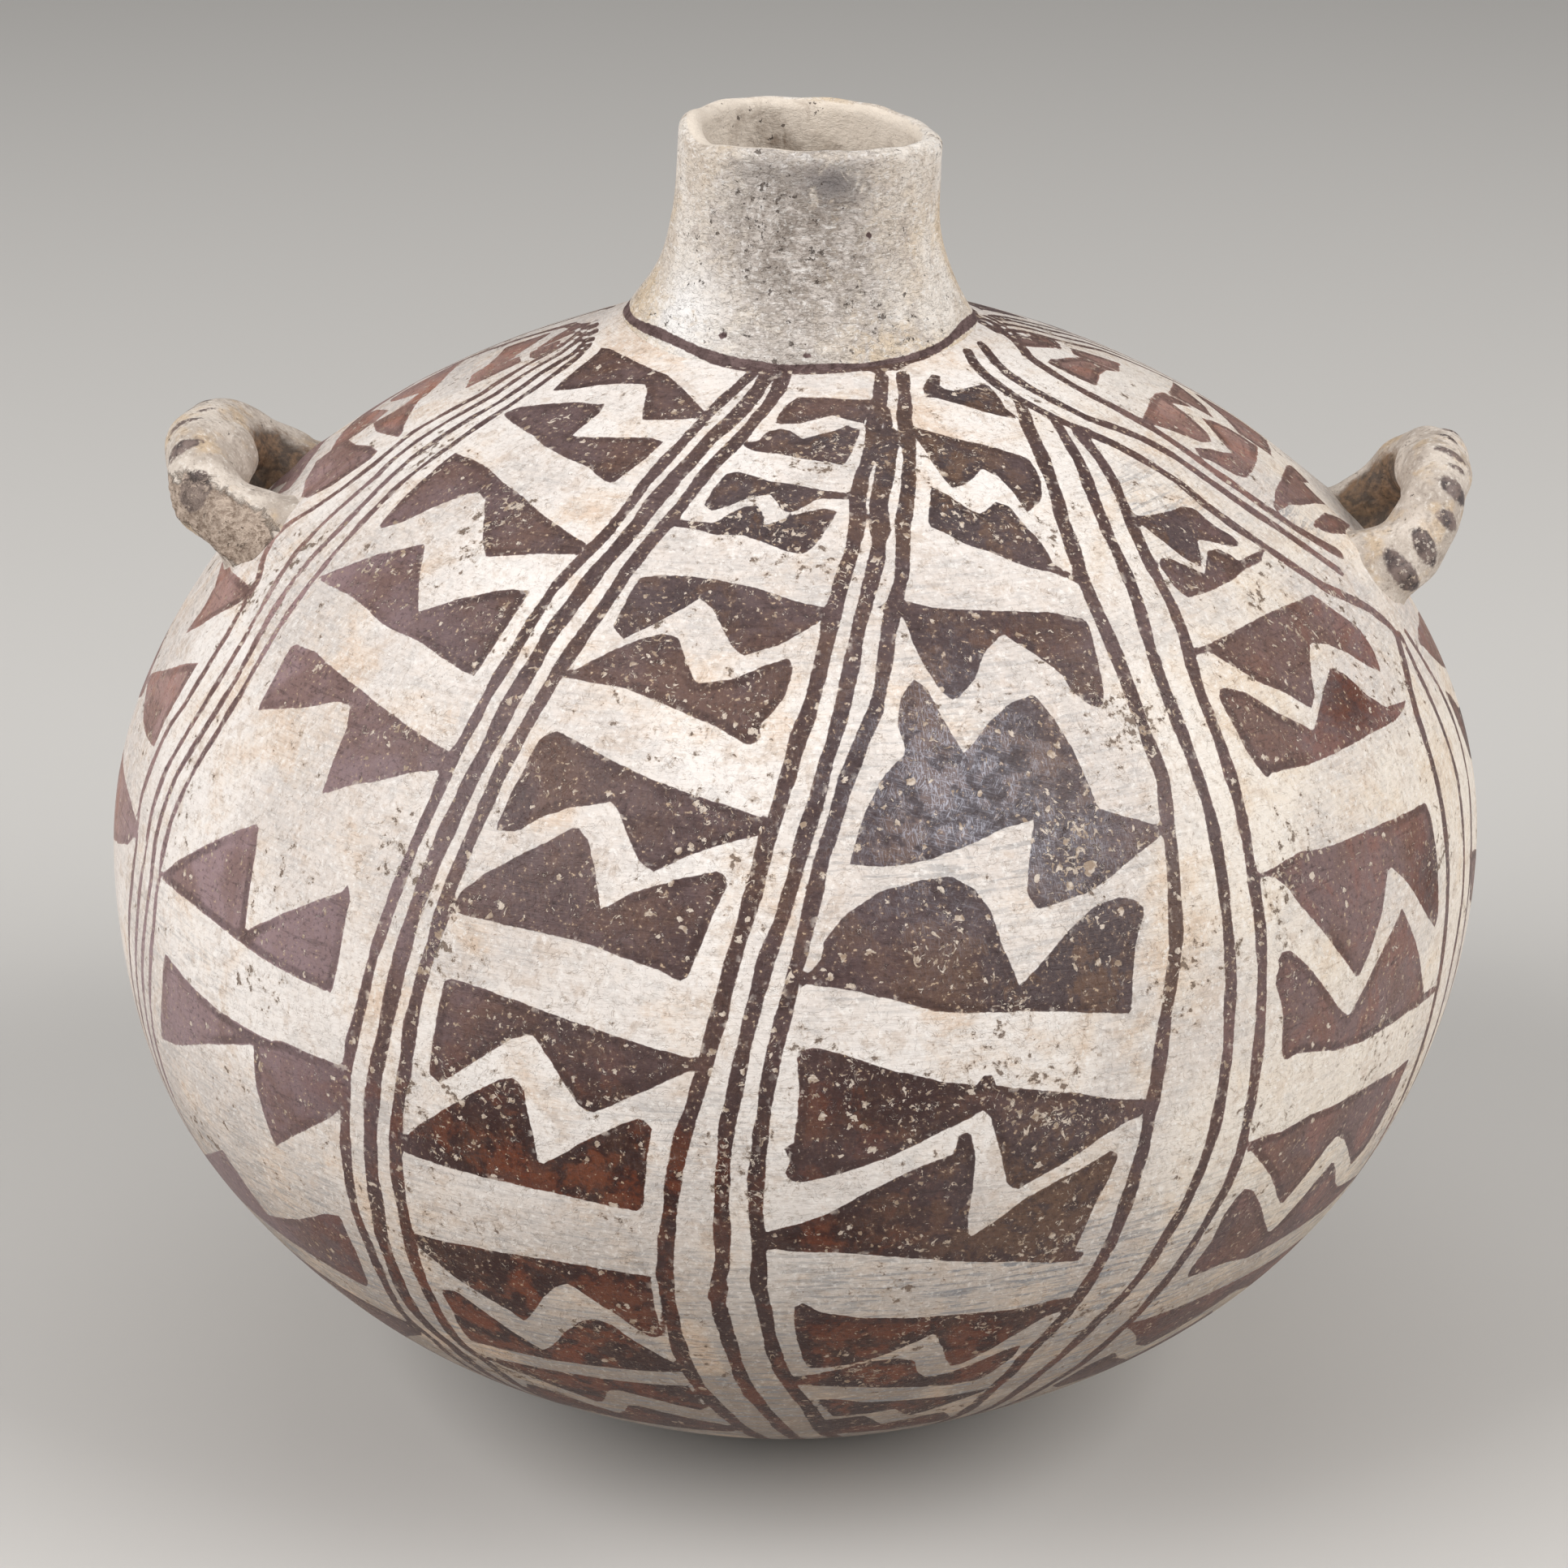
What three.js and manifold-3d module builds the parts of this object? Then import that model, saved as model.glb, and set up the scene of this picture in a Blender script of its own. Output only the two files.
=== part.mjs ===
// A round pottery canteen: a swelling body, a short neck that leans a little, and two small lug handles
// whose ends are riveted through the shoulder. Sizes are in millimetres, +Z is up, the front faces -Y
// and +X is the viewer's right. The origin is the middle of the flat that the canteen rests on.

import * as THREE from 'three';
import * as BufferGeometryUtils from 'three/addons/utils/BufferGeometryUtils.js';
import Module from 'manifold-3d';

// Body, measured from its widest level, which is height 0 while the pieces are drawn
const bodyRadius = 108;
const shoulderRise = 87.5;
const bellyDrop = 92.9;
const shoulderFullness = { across: 1.8, up: 2.15 };
const bellyFullness = { across: 1.77, up: 2.12 };
const wallThickness = 5;
const restRadius = 28;
const baseThickness = 6;

// Joints between the clay pieces: each is a slanted lap with a thin gap
const seatGap = 0.3;
const baseSeamRadius = 46;
const baseSeamLap = 4;
const bellySeamHeight = 0;
const bellySeamLap = 5;

// Neck and lip
const neckRadius = 20;
const neckWall = 3.6;
const neckRootRadius = 26;
const neckRootLap = 4;
const neckFlareHeight = 22;
const neckFlarePower = 1.7;
const throatFlareHeight = 7;
const mouthHeight = 115.6;
const lipDepth = 4.8;
const lipLap = 1.2;
const neckOffset = 1.6;
const neckLean = THREE.MathUtils.degToRad(2.6);

// Handles, with heights above the widest level and spans between the middles of their two ends
const leftHandleHeight = 55.8;
const leftHandleSpan = 29.5;
const leftHandleReach = 12.4;
const leftHandleThickness = 12;
const leftHandleDepth = 12.2;
const rightHandleHeight = 49.8;
const rightHandleSpan = 27;
const rightHandleReach = 15.6;
const rightHandleThickness = 10.8;
const rightHandleDepth = 13;
const handleFootHeight = 7;
const handleFootSpread = 1.32;
const handleFullness = 2.3;
const tenonRadius = 3.4;
const tenonStandout = 2;

// Bearing is the angle from the front towards +X, rise tips the loop up from level and slant, seen along
// the loop from outside, drops its back end
const handles = [
  {
    name: 'handle_left',
    bearing: -90.5,
    rise: 47,
    slant: -4,
    height: leftHandleHeight,
    span: leftHandleSpan,
    reach: leftHandleReach,
    thickness: leftHandleThickness,
    depth: leftHandleDepth,
  },
  {
    name: 'handle_right',
    bearing: 89.9,
    rise: 48,
    slant: 8,
    height: rightHandleHeight,
    span: rightHandleSpan,
    reach: rightHandleReach,
    thickness: rightHandleThickness,
    depth: rightHandleDepth,
  },
];

// Fineness of the faceted surfaces, and how near to each other two vertices are merged
const turns = 56;
const archSteps = 11;
const flareSteps = 6;
const lipSteps = 6;
const handleSteps = 18;
const handleSides = 16;
const tenonSides = 14;
const tenonCapSteps = 3;
const mergeDistance = 1e-4;

const clay = {
  body: new THREE.MeshStandardMaterial({ color: '#d6cbbf', roughness: 0.62, metalness: 0 }),
  base: new THREE.MeshStandardMaterial({ color: '#c3b4a6', roughness: 0.72, metalness: 0 }),
  neck: new THREE.MeshStandardMaterial({ color: '#c9c1ba', roughness: 0.66, metalness: 0 }),
  lip: new THREE.MeshStandardMaterial({ color: '#bdb1a6', roughness: 0.7, metalness: 0 }),
  handle: new THREE.MeshStandardMaterial({ color: '#cbbfb3', roughness: 0.66, metalness: 0 }),
};

const solids = await Module();
solids.setup();

// Radius of a rounded half body at a height, and height at a radius, for a skin drawn in by inset
function radiusAt(height, inset = 0) {
  const half = height >= 0 ? shoulderFullness : bellyFullness;
  const limit = (height >= 0 ? shoulderRise : bellyDrop) - inset;
  const share = Math.min(Math.abs(height) / limit, 1);
  return (bodyRadius - inset) * (1 - share ** half.up) ** (1 / half.across);
}

function shoulderHeightAt(radius, inset = 0) {
  const share = (radius / (bodyRadius - inset)) ** shoulderFullness.across;
  return (shoulderRise - inset) * (1 - share) ** (1 / shoulderFullness.up);
}

function bellyHeightAt(radius, inset = 0) {
  const share = (radius / (bodyRadius - inset)) ** bellyFullness.across;
  return -(bellyDrop - inset) * (1 - share) ** (1 / bellyFullness.up);
}

const restHeight = bellyHeightAt(restRadius);
const floorHeight = restHeight + baseThickness;

// Points along the skin between two heights, spaced evenly by the slope angle of the arch
function archPoints(from, to, inset = 0, steps = archSteps) {
  const limit = (height) => (height >= 0 ? shoulderRise : bellyDrop) - inset;
  const angle = (height) => Math.asin(THREE.MathUtils.clamp(height / limit(height), -1, 1));
  const points = [];
  for (let i = 0; i <= steps; i++) {
    const turn = THREE.MathUtils.lerp(angle(from), angle(to), i / steps);
    const height = limit(turn) * Math.sin(turn);
    points.push(new THREE.Vector2(radiusAt(height, inset), height));
  }
  return points;
}

// A solid of revolution about +Z from an outline of radius and height, drawn anticlockwise
function revolve(outline, closed = true) {
  const points = closed ? [...outline, outline[0].clone()] : outline;
  return new THREE.LatheGeometry(points, turns).rotateX(Math.PI / 2);
}

// The solid inside a closed mesh, with its shared vertices merged and its flat slivers left out
function solidFrom(geometry) {
  const bare = geometry.clone();
  bare.deleteAttribute('normal');
  bare.deleteAttribute('uv');
  const merged = BufferGeometryUtils.mergeVertices(bare, mergeDistance);
  const corners = merged.index.array;
  const kept = [];
  for (let i = 0; i < corners.length; i += 3) {
    const [a, b, c] = corners.subarray(i, i + 3);
    if (a !== b && b !== c && c !== a) {
      kept.push(a, b, c);
    }
  }
  const vertProperties = new Float32Array(merged.attributes.position.array);
  const triVerts = new Uint32Array(kept);
  return new solids.Manifold(new solids.Mesh({ numProp: 3, vertProperties, triVerts }));
}

function geometryFrom(solid) {
  const mesh = solid.getMesh();
  const geometry = new THREE.BufferGeometry();
  geometry.setAttribute('position', new THREE.BufferAttribute(mesh.vertProperties, 3));
  geometry.setIndex(new THREE.BufferAttribute(mesh.triVerts, 1));
  geometry.computeVertexNormals();
  return geometry;
}

function piece(name, geometry, material) {
  const mesh = new THREE.Mesh(geometry, material);
  mesh.name = name;
  return mesh;
}

// How far a slanted lap joint is moved along its level direction to open it by the seat gap
function lapShift(across, along) {
  return seatGap * Math.hypot(across, along) / Math.abs(along);
}

// Base: a shallow dish with the flat that the canteen stands on
function makeBase() {
  const edgeHeight = bellyHeightAt(baseSeamRadius);
  const innerRadius = baseSeamRadius - baseSeamLap;
  const innerHeight = bellyHeightAt(innerRadius, wallThickness);
  const inside = archPoints(innerHeight, floorHeight, wallThickness, flareSteps);
  const outline = [
    new THREE.Vector2(0, restHeight),
    ...archPoints(restHeight, edgeHeight, 0, flareSteps),
    ...inside,
    new THREE.Vector2(0, floorHeight),
  ];
  return geometryFrom(solidFrom(revolve(outline, false)));
}

// Belly wall: from the base dish up to the widest level
function makeLowerWall() {
  const innerRadius = baseSeamRadius - baseSeamLap;
  const rise = bellyHeightAt(innerRadius, wallThickness) - bellyHeightAt(baseSeamRadius);
  const shift = lapShift(baseSeamLap, rise);
  const outerLow = bellyHeightAt(baseSeamRadius + shift);
  const innerLow = bellyHeightAt(innerRadius + shift, wallThickness);
  const outline = [
    ...archPoints(outerLow, bellySeamHeight - bellySeamLap / 2),
    ...archPoints(bellySeamHeight + bellySeamLap / 2, innerLow, wallThickness),
  ];
  return geometryFrom(solidFrom(revolve(outline)));
}

// The slanted seat that the neck drops into, as a solid cone through the top of the shoulder
function neckSeat(grow) {
  const outer = new THREE.Vector2(neckRootRadius, shoulderHeightAt(neckRootRadius));
  const innerRadius = neckRootRadius - neckRootLap;
  const inner = new THREE.Vector2(innerRadius, shoulderHeightAt(innerRadius, wallThickness));
  const slope = (outer.x - inner.x) / (outer.y - inner.y);
  const shift = grow * Math.hypot(1, slope);
  const top = outer.y + neckFlareHeight;
  const bottom = inner.y - wallThickness;
  const radiusOnCone = (height) => Math.max(outer.x + (height - outer.y) * slope + shift, seatGap);
  const outline = [
    new THREE.Vector2(0, bottom),
    new THREE.Vector2(radiusOnCone(bottom), bottom),
    new THREE.Vector2(radiusOnCone(top), top),
    new THREE.Vector2(0, top),
  ];
  return solidFrom(revolve(outline, false)).translate(neckOffset, 0, 0);
}

// Shoulder wall: from the widest level up to the neck, with the neck's seat and the rivet holes cut out
function makeUpperWall(tenonHoles) {
  const seam = bellySeamHeight + lapShift(bellySeamLap, wallThickness);
  const crownRadius = neckRadius - neckWall;
  const outline = [
    ...archPoints(seam - bellySeamLap / 2, shoulderHeightAt(crownRadius)),
    ...archPoints(shoulderHeightAt(crownRadius, wallThickness), seam + bellySeamLap / 2, wallThickness),
  ];
  let wall = solidFrom(revolve(outline)).subtract(neckSeat(seatGap));
  for (const hole of tenonHoles) {
    wall = wall.subtract(hole);
  }
  return geometryFrom(wall);
}

// The neck leans: each level turns about the middle of the neck's root, by more the higher it lies
function lean(geometry) {
  const root = shoulderHeightAt(neckRootRadius);
  const spot = new THREE.Vector3();
  const positions = geometry.attributes.position;
  for (let i = 0; i < positions.count; i++) {
    spot.fromBufferAttribute(positions, i);
    const share = Math.max(spot.z - root, 0) / (mouthHeight - root);
    spot.z -= root;
    spot.applyAxisAngle(new THREE.Vector3(0, 1, 0), neckLean * share);
    positions.setXYZ(i, spot.x + neckOffset, spot.y, spot.z + root);
  }
  return geometry;
}

// Neck: a flaring collar that ends in the slanted seat below and in the lip's joint above
function makeNeck() {
  const root = shoulderHeightAt(neckRootRadius);
  const bore = neckRadius - neckWall;
  const jointOuter = mouthHeight - lipDepth;
  const jointInner = jointOuter + lipLap;
  const outside = [];
  for (let i = 0; i <= flareSteps; i++) {
    const share = i / flareSteps;
    const radius = neckRadius + (neckRootRadius - neckRadius) * (1 - share) ** neckFlarePower;
    outside.push(new THREE.Vector2(radius, root + neckFlareHeight * share));
  }
  const innerRoot = neckRootRadius - neckRootLap;
  const throatLow = shoulderHeightAt(innerRoot, wallThickness);
  const throat = [];
  for (let i = 0; i <= flareSteps; i++) {
    const share = 1 - i / flareSteps;
    const radius = bore + (innerRoot - bore) * (1 - share) ** neckFlarePower;
    throat.push(new THREE.Vector2(radius, throatLow + throatFlareHeight * share));
  }
  const outline = [
    ...outside,
    new THREE.Vector2(neckRadius, jointOuter),
    new THREE.Vector2(bore, jointInner),
    ...throat,
  ];
  return geometryFrom(solidFrom(lean(revolve(outline))));
}

// Lip: the last coil, rounded over at the top
function makeLip() {
  const roundness = neckWall / 2;
  const middle = neckRadius - roundness;
  const shift = lapShift(lipLap, neckWall);
  const jointOuter = mouthHeight - lipDepth + shift;
  const outline = [new THREE.Vector2(neckRadius, jointOuter)];
  for (let i = 0; i <= lipSteps; i++) {
    const turn = Math.PI * i / lipSteps;
    const height = mouthHeight - roundness + roundness * Math.sin(turn);
    outline.push(new THREE.Vector2(middle + roundness * Math.cos(turn), height));
  }
  outline.push(new THREE.Vector2(neckRadius - neckWall, jointOuter + lipLap));
  return geometryFrom(solidFrom(lean(revolve(outline))));
}

// A closed skin over rings of points that all hold as many points, with both ends capped
function skinOver(rings) {
  const count = rings[0].length;
  const corners = [];
  for (let i = 0; i + 1 < rings.length; i++) {
    for (let j = 0; j < count; j++) {
      const here = i * count + j;
      const next = i * count + (j + 1) % count;
      corners.push(here, next, next + count, here, next + count, here + count);
    }
  }
  const last = (rings.length - 1) * count;
  for (let j = 1; j + 1 < count; j++) {
    corners.push(0, j + 1, j, last, last + j, last + j + 1);
  }
  const places = rings.flat().flatMap((point) => point.toArray());
  const geometry = new THREE.BufferGeometry();
  geometry.setAttribute('position', new THREE.Float32BufferAttribute(places, 3));
  geometry.setIndex(corners);
  return geometry;
}

// Where a handle sits: local x runs along the wall, local y runs out of it and z crosses the loop
function handlePlacement(handle) {
  const bearing = THREE.MathUtils.degToRad(handle.bearing);
  const rise = THREE.MathUtils.degToRad(handle.rise);
  const outward = new THREE.Vector3(Math.sin(bearing), -Math.cos(bearing), 0);
  const along = new THREE.Vector3(Math.cos(bearing), Math.sin(bearing), 0);
  const foot = outward.clone().multiplyScalar(radiusAt(handle.height)).setZ(handle.height);
  const out = outward.clone().multiplyScalar(Math.cos(rise)).setZ(Math.sin(rise));
  along.applyAxisAngle(out, THREE.MathUtils.degToRad(-handle.slant));
  const across = new THREE.Vector3().crossVectors(along, out);
  return new THREE.Matrix4().makeBasis(along, out, across).setPosition(foot);
}

// The roll of clay: a level arch whose oval section spreads where it is smeared onto the wall
function makeRoll(handle) {
  const depthInWall = wallThickness + handleFootHeight;
  const middles = [];
  for (let i = 0; i <= handleSteps; i++) {
    const turn = Math.PI * (i / handleSteps - 0.5);
    const x = Math.sign(turn) * Math.abs(Math.sin(turn)) ** (2 / handleFullness) * handle.span / 2;
    middles.push(new THREE.Vector3(x, Math.cos(turn) ** (2 / handleFullness) * handle.reach, 0));
  }
  const start = new THREE.Vector3(-handle.span / 2, -depthInWall, 0);
  const end = new THREE.Vector3(handle.span / 2, -depthInWall, 0);
  const route = new THREE.CatmullRomCurve3([start, ...middles, end], false, 'centripetal');
  const count = handleSteps * 2;
  const rings = [];
  for (let i = 0; i <= count; i++) {
    const middle = route.getPointAt(i / count);
    const heading = route.getTangentAt(i / count);
    const side = new THREE.Vector3(-heading.y, heading.x, 0);
    const foot = 1 - THREE.MathUtils.smoothstep(middle.y, 0, handleFootHeight);
    const spread = THREE.MathUtils.lerp(1, handleFootSpread, foot);
    const ring = [];
    for (let j = 0; j < handleSides; j++) {
      const turn = 2 * Math.PI * j / handleSides;
      const point = middle.clone();
      point.addScaledVector(side, Math.cos(turn) * spread * handle.thickness / 2);
      point.z += Math.sin(turn) * spread * handle.depth / 2;
      ring.push(point);
    }
    rings.push(ring);
  }
  return solidFrom(skinOver(rings));
}

// The rivet pegs on the ends of the roll, or with grow the holes that they pass through
function makeTenons(handle, grow = 0) {
  const wallBulge = handle.span ** 2 / (8 * bodyRadius);
  const inside = wallThickness + tenonStandout + wallBulge;
  const outside = handle.reach / 2;
  const length = inside + outside - tenonRadius;
  const peg = new THREE.CapsuleGeometry(tenonRadius + grow, length, tenonCapSteps, tenonSides);
  const middle = (outside - inside) / 2;
  const pegs = [-1, 1].map((side) => solidFrom(peg).translate(side * handle.span / 2, middle, 0));
  return pegs[0].add(pegs[1]);
}

function makeHandle(handle, body) {
  const placement = handlePlacement(handle);
  const bodyHere = body.transform(placement.clone().invert().elements);
  const solid = makeRoll(handle).subtract(bodyHere).add(makeTenons(handle));
  const mesh = piece(handle.name, geometryFrom(solid), clay.handle);
  placement.decompose(mesh.position, mesh.quaternion, mesh.scale);
  return mesh;
}

// The whole body filled in, grown by the seat gap, which trims the feet of the handles to the shoulder
function makeBodyBlank() {
  const outline = [
    new THREE.Vector2(0, -bellyDrop),
    ...archPoints(-bellyDrop, 0, -seatGap),
    ...archPoints(0, shoulderRise, -seatGap).slice(1),
    new THREE.Vector2(0, shoulderRise),
  ];
  return solidFrom(revolve(outline, false));
}

const bodyBlank = makeBodyBlank();
const tenonHoles = handles.map((handle) => {
  const holes = makeTenons(handle, seatGap);
  return holes.transform(handlePlacement(handle).elements);
});

const canteen = new THREE.Group();
canteen.name = 'canteen';
canteen.position.z = -restHeight;
canteen.add(piece('base_dish', makeBase(), clay.base));
canteen.add(piece('belly_wall', makeLowerWall(), clay.body));
canteen.add(piece('shoulder_wall', makeUpperWall(tenonHoles), clay.body));
canteen.add(piece('neck', makeNeck(), clay.neck));
canteen.add(piece('lip', makeLip(), clay.lip));
for (const handle of handles) {
  canteen.add(makeHandle(handle, bodyBlank));
}

export default canteen;
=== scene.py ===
# A round pottery canteen with a short neck and two small loop handles, in cream slip with
# dark painted panels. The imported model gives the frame; each piece below replaces its clay solid.
import math

import bpy
import numpy as np
from mathutils import Matrix, Vector


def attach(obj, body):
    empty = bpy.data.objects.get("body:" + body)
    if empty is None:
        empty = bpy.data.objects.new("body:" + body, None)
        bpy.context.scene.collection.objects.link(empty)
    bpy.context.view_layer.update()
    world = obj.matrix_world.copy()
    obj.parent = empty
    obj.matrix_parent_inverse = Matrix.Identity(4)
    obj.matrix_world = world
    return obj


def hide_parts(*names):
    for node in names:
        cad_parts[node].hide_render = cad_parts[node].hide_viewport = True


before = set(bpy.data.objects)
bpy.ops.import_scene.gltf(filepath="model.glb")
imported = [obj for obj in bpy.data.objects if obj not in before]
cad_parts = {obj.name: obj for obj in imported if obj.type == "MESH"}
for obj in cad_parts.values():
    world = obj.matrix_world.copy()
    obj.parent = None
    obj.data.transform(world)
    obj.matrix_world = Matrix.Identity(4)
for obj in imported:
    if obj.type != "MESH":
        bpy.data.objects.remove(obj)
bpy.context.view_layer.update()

# Studio: the camera looks down 22 degrees on the front from six body radii away. The canteen
# stands on a plain pale floor between two wide soft boxes, with a weaker one above and behind.
# Studio heights are in metres; the widest level of the body is the level that the camera aims at.
mm = 0.001
widest_level = 88.78
photo_size = 1932
focal_pixels = 4970
body_in_photo = (978, 1031)
camera_drop = math.radians(22)
camera_range = 0.648
camera = bpy.data.objects.new("camera", bpy.data.cameras.new("camera"))
bpy.context.scene.collection.objects.link(camera)
camera.location = (
    0,
    -camera_range * math.cos(camera_drop),
    camera_range * math.sin(camera_drop) + widest_level * mm,
)
camera.rotation_euler = (math.pi / 2 - camera_drop, 0, 0)
camera.data.sensor_width = 36
camera.data.lens = camera.data.sensor_width * focal_pixels / photo_size
camera.data.shift_x = -(body_in_photo[0] - photo_size / 2) / photo_size
camera.data.shift_y = (body_in_photo[1] - photo_size / 2) / photo_size
camera.data.clip_start = 0.01
bpy.context.scene.camera = camera
bpy.context.scene.view_settings.view_transform = "Standard"


def soft_box(name, place, aim_height, size, watts):
    """A lamp with a wide lit face that is turned to a point above the middle of the floor."""
    lamp = bpy.data.lights.new(name, "AREA")
    lamp.shape = "RECTANGLE"
    lamp.size, lamp.size_y = size
    lamp.energy = watts
    box = bpy.data.objects.new(name, lamp)
    bpy.context.scene.collection.objects.link(box)
    box.location = place
    box.rotation_euler = (Vector((0, 0, aim_height)) - Vector(place)).to_track_quat("-Z", "Y").to_euler()


soft_box("left_soft_box", (-1.4, -0.8, 1.25), aim_height=0.09, size=(1.2, 1.4), watts=34)
soft_box("right_soft_box", (1.45, -0.7, 1.2), aim_height=0.09, size=(1.1, 1.4), watts=30)
soft_box("top_soft_box", (0, 0.35, 1.4), aim_height=0.1, size=(1.2, 0.9), watts=3)


class Signal:
    """One value or colour of a finish, so that its pattern can be written as sums and products."""

    def __init__(self, finish, socket):
        self.finish = finish
        self.socket = socket

    def combine(self, operation, other, clamp=False):
        settings = {"operation": operation, "use_clamp": clamp}
        return self.finish.node("ShaderNodeMath", settings, {0: self, 1: other})

    def __add__(self, other):
        return self.combine("ADD", other)

    def __sub__(self, other):
        return self.combine("SUBTRACT", other)

    def __mul__(self, other):
        return self.combine("MULTIPLY", other)

    def __neg__(self):
        return self.combine("MULTIPLY", -1.0)

    def __rsub__(self, other):
        return -self + other

    def highest(self, other):
        return self.combine("MAXIMUM", other)

    def clamped(self):
        return self.combine("ADD", 0.0, clamp=True)

    def near(self, value, width):
        """1 where the signal passes through a value and 0 a width away from it: a thin wandering line."""
        off = self - value
        return off.highest(-off).rise(width, width * 0.3)

    def rise(self, low, high):
        """0 below low and 1 above high, with a smooth rise between; the other way round if high < low."""
        settings = {"interpolation_type": "SMOOTHSTEP"}
        if high < low:
            inputs = {"Value": self, "From Min": high, "From Max": low, "To Min": 1.0, "To Max": 0.0}
        else:
            inputs = {"Value": self, "From Min": low, "From Max": high, "To Min": 0.0, "To Max": 1.0}
        return self.finish.node("ShaderNodeMapRange", settings, inputs)


def colour(code):
    """A colour written as RRGGBB, in the linear values that a finish takes."""
    shares = [int(code[i:i + 2], 16) / 255 for i in (0, 2, 4)]
    return [s / 12.92 if s <= 0.04045 else ((s + 0.055) / 1.055) ** 2.4 for s in shares] + [1.0]


class Finish:
    """A clay finish: a material whose nodes are added one at a time."""

    refraction = 1.35

    def __init__(self, name):
        self.material = bpy.data.materials.new(name)
        self.material.use_nodes = True
        self.tree = self.material.node_tree
        self.tree.nodes.clear()

    def node(self, kind, settings=None, inputs=None, output=0):
        """Adds one node and gives one of its outputs; an input is a number, a colour or a signal."""
        made = self.tree.nodes.new(kind)
        for name, value in (settings or {}).items():
            setattr(made, name, value)
        for name, value in (inputs or {}).items():
            if isinstance(value, Signal):
                self.tree.links.new(value.socket, made.inputs[name])
            else:
                made.inputs[name].default_value = value
        return Signal(self, made.outputs[output])

    def place(self):
        """A place on the piece, in metres."""
        return self.node("ShaderNodeTexCoord", output="Object")

    def parts(self):
        """The three coordinates of a place on the piece."""
        split = self.tree.nodes.new("ShaderNodeSeparateXYZ")
        self.tree.links.new(self.place().socket, split.inputs[0])
        return [Signal(self, split.outputs[axis]) for axis in range(3)]

    def joined(self, x, y, z):
        """A place put together from its coordinates, to stretch a pattern along some of them."""
        return self.node("ShaderNodeCombineXYZ", {}, {"X": x, "Y": y, "Z": z})

    def noise(self, grain, detail=2.0, roughness=0.5, where=None, distortion=0.0):
        """Noise whose lumps are about grain millimetres across."""
        inputs = {
            "Vector": where or self.place(),
            "Scale": 1 / (grain * mm),
            "Detail": detail,
            "Roughness": roughness,
            "Distortion": distortion,
        }
        return self.node("ShaderNodeTexNoise", {}, inputs)

    def specks(self, spacing):
        """Distance to the nearest of many scattered points, in shares of their spacing."""
        inputs = {"Vector": self.place(), "Scale": 1 / (spacing * mm)}
        return self.node("ShaderNodeTexVoronoi", {"feature": "F1"}, inputs, "Distance")

    def measure(self, name):
        """A value that was kept on the piece's skin under this name."""
        return self.node("ShaderNodeAttribute", {"attribute_name": name}, {}, "Fac")

    def blend(self, share, low, high):
        """Low where the share is 0 and high where it is 1; each is a colour written as RRGGBB or a signal."""
        low, high = [colour(side) if isinstance(side, str) else side for side in (low, high)]
        settings = {"data_type": "RGBA", "blend_type": "MIX"}
        return self.node("ShaderNodeMix", settings, {0: share, 6: low, 7: high}, 2)

    def layered(self, ground, *coats):
        """The ground with coats laid over it in turn, each given as its share and its colour."""
        for share, tint in coats:
            ground = self.blend(share, ground, tint)
        return ground

    def bump(self, height, depth, strength=1.0, under=None):
        """Relief of this depth in millimetres, over the relief that lies under it if there is one."""
        inputs = {"Height": height, "Distance": depth * mm, "Strength": strength}
        if under is not None:
            inputs["Normal"] = under
        return self.node("ShaderNodeBump", {}, inputs)

    def surface(self, skin, roughness, normal=None):
        """Ends the finish in a surface with this colour, roughness and relief."""
        inputs = {"Base Color": skin, "Roughness": roughness, "IOR": self.refraction}
        if normal is not None:
            inputs["Normal"] = normal
        shader = self.node("ShaderNodeBsdfPrincipled", {}, inputs)
        out = self.tree.nodes.new("ShaderNodeOutputMaterial")
        self.tree.links.new(shader.socket, out.inputs["Surface"])


floor_half = 6
floor_corners = [(x * floor_half, y * floor_half, 0) for x, y in ((-1, -1), (1, -1), (1, 1), (-1, 1))]
floor_mesh = bpy.data.meshes.new("floor")
floor_mesh.from_pydata(floor_corners, [], [(0, 1, 2, 3)])
floor = bpy.data.objects.new("floor", floor_mesh)
bpy.context.scene.collection.objects.link(floor)
floor_finish = Finish("pale_floor")
floor_finish.surface(colour("cfccc8"), 0.8)
floor_mesh.materials.append(floor_finish.material)
world = bpy.data.worlds.new("pale_room")
bpy.context.scene.world = world
world.use_nodes = True
room = world.node_tree.nodes["Background"]
room.inputs["Color"].default_value = colour("e9e8e6")
room.inputs["Strength"].default_value = 0.2

# Body: two deep bowls of coiled clay, 5 mm thick, joined at the widest level and scraped smooth,
# with the seam lapped inside the wall. Here r and z are in millimetres, z from the widest level.
body_radius = 108.0
shoulder = {"rise": 87.5, "across": 1.8, "up": 2.15}
belly = {"rise": 92.9, "across": 1.77, "up": 2.12}
wall = 5.0
neck_root = 27.0
root_shift = 0.9
neck_shift = 1.6
base_edge = 46.0
rest_radius = 28.0
seam_lap = 2.0


def radius_at(z, inset=0.0):
    """Radius of the skin at each height, or of a skin that lies an inset further in."""
    z = np.asarray(z, float)
    r = np.zeros_like(z)
    for half, here in ((shoulder, z >= 0), (belly, z < 0)):
        share = np.clip(np.abs(z) / (half["rise"] - inset), 0, 1) ** half["up"]
        r = np.where(here, (body_radius - inset) * (1 - share) ** (1 / half["across"]), r)
    return r


def height_at(r, half, inset=0.0):
    """How far above or below the widest level the shoulder or belly has a radius."""
    share = (r / (body_radius - inset)) ** half["across"]
    return (half["rise"] - inset) * (1 - share) ** (1 / half["up"])


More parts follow.
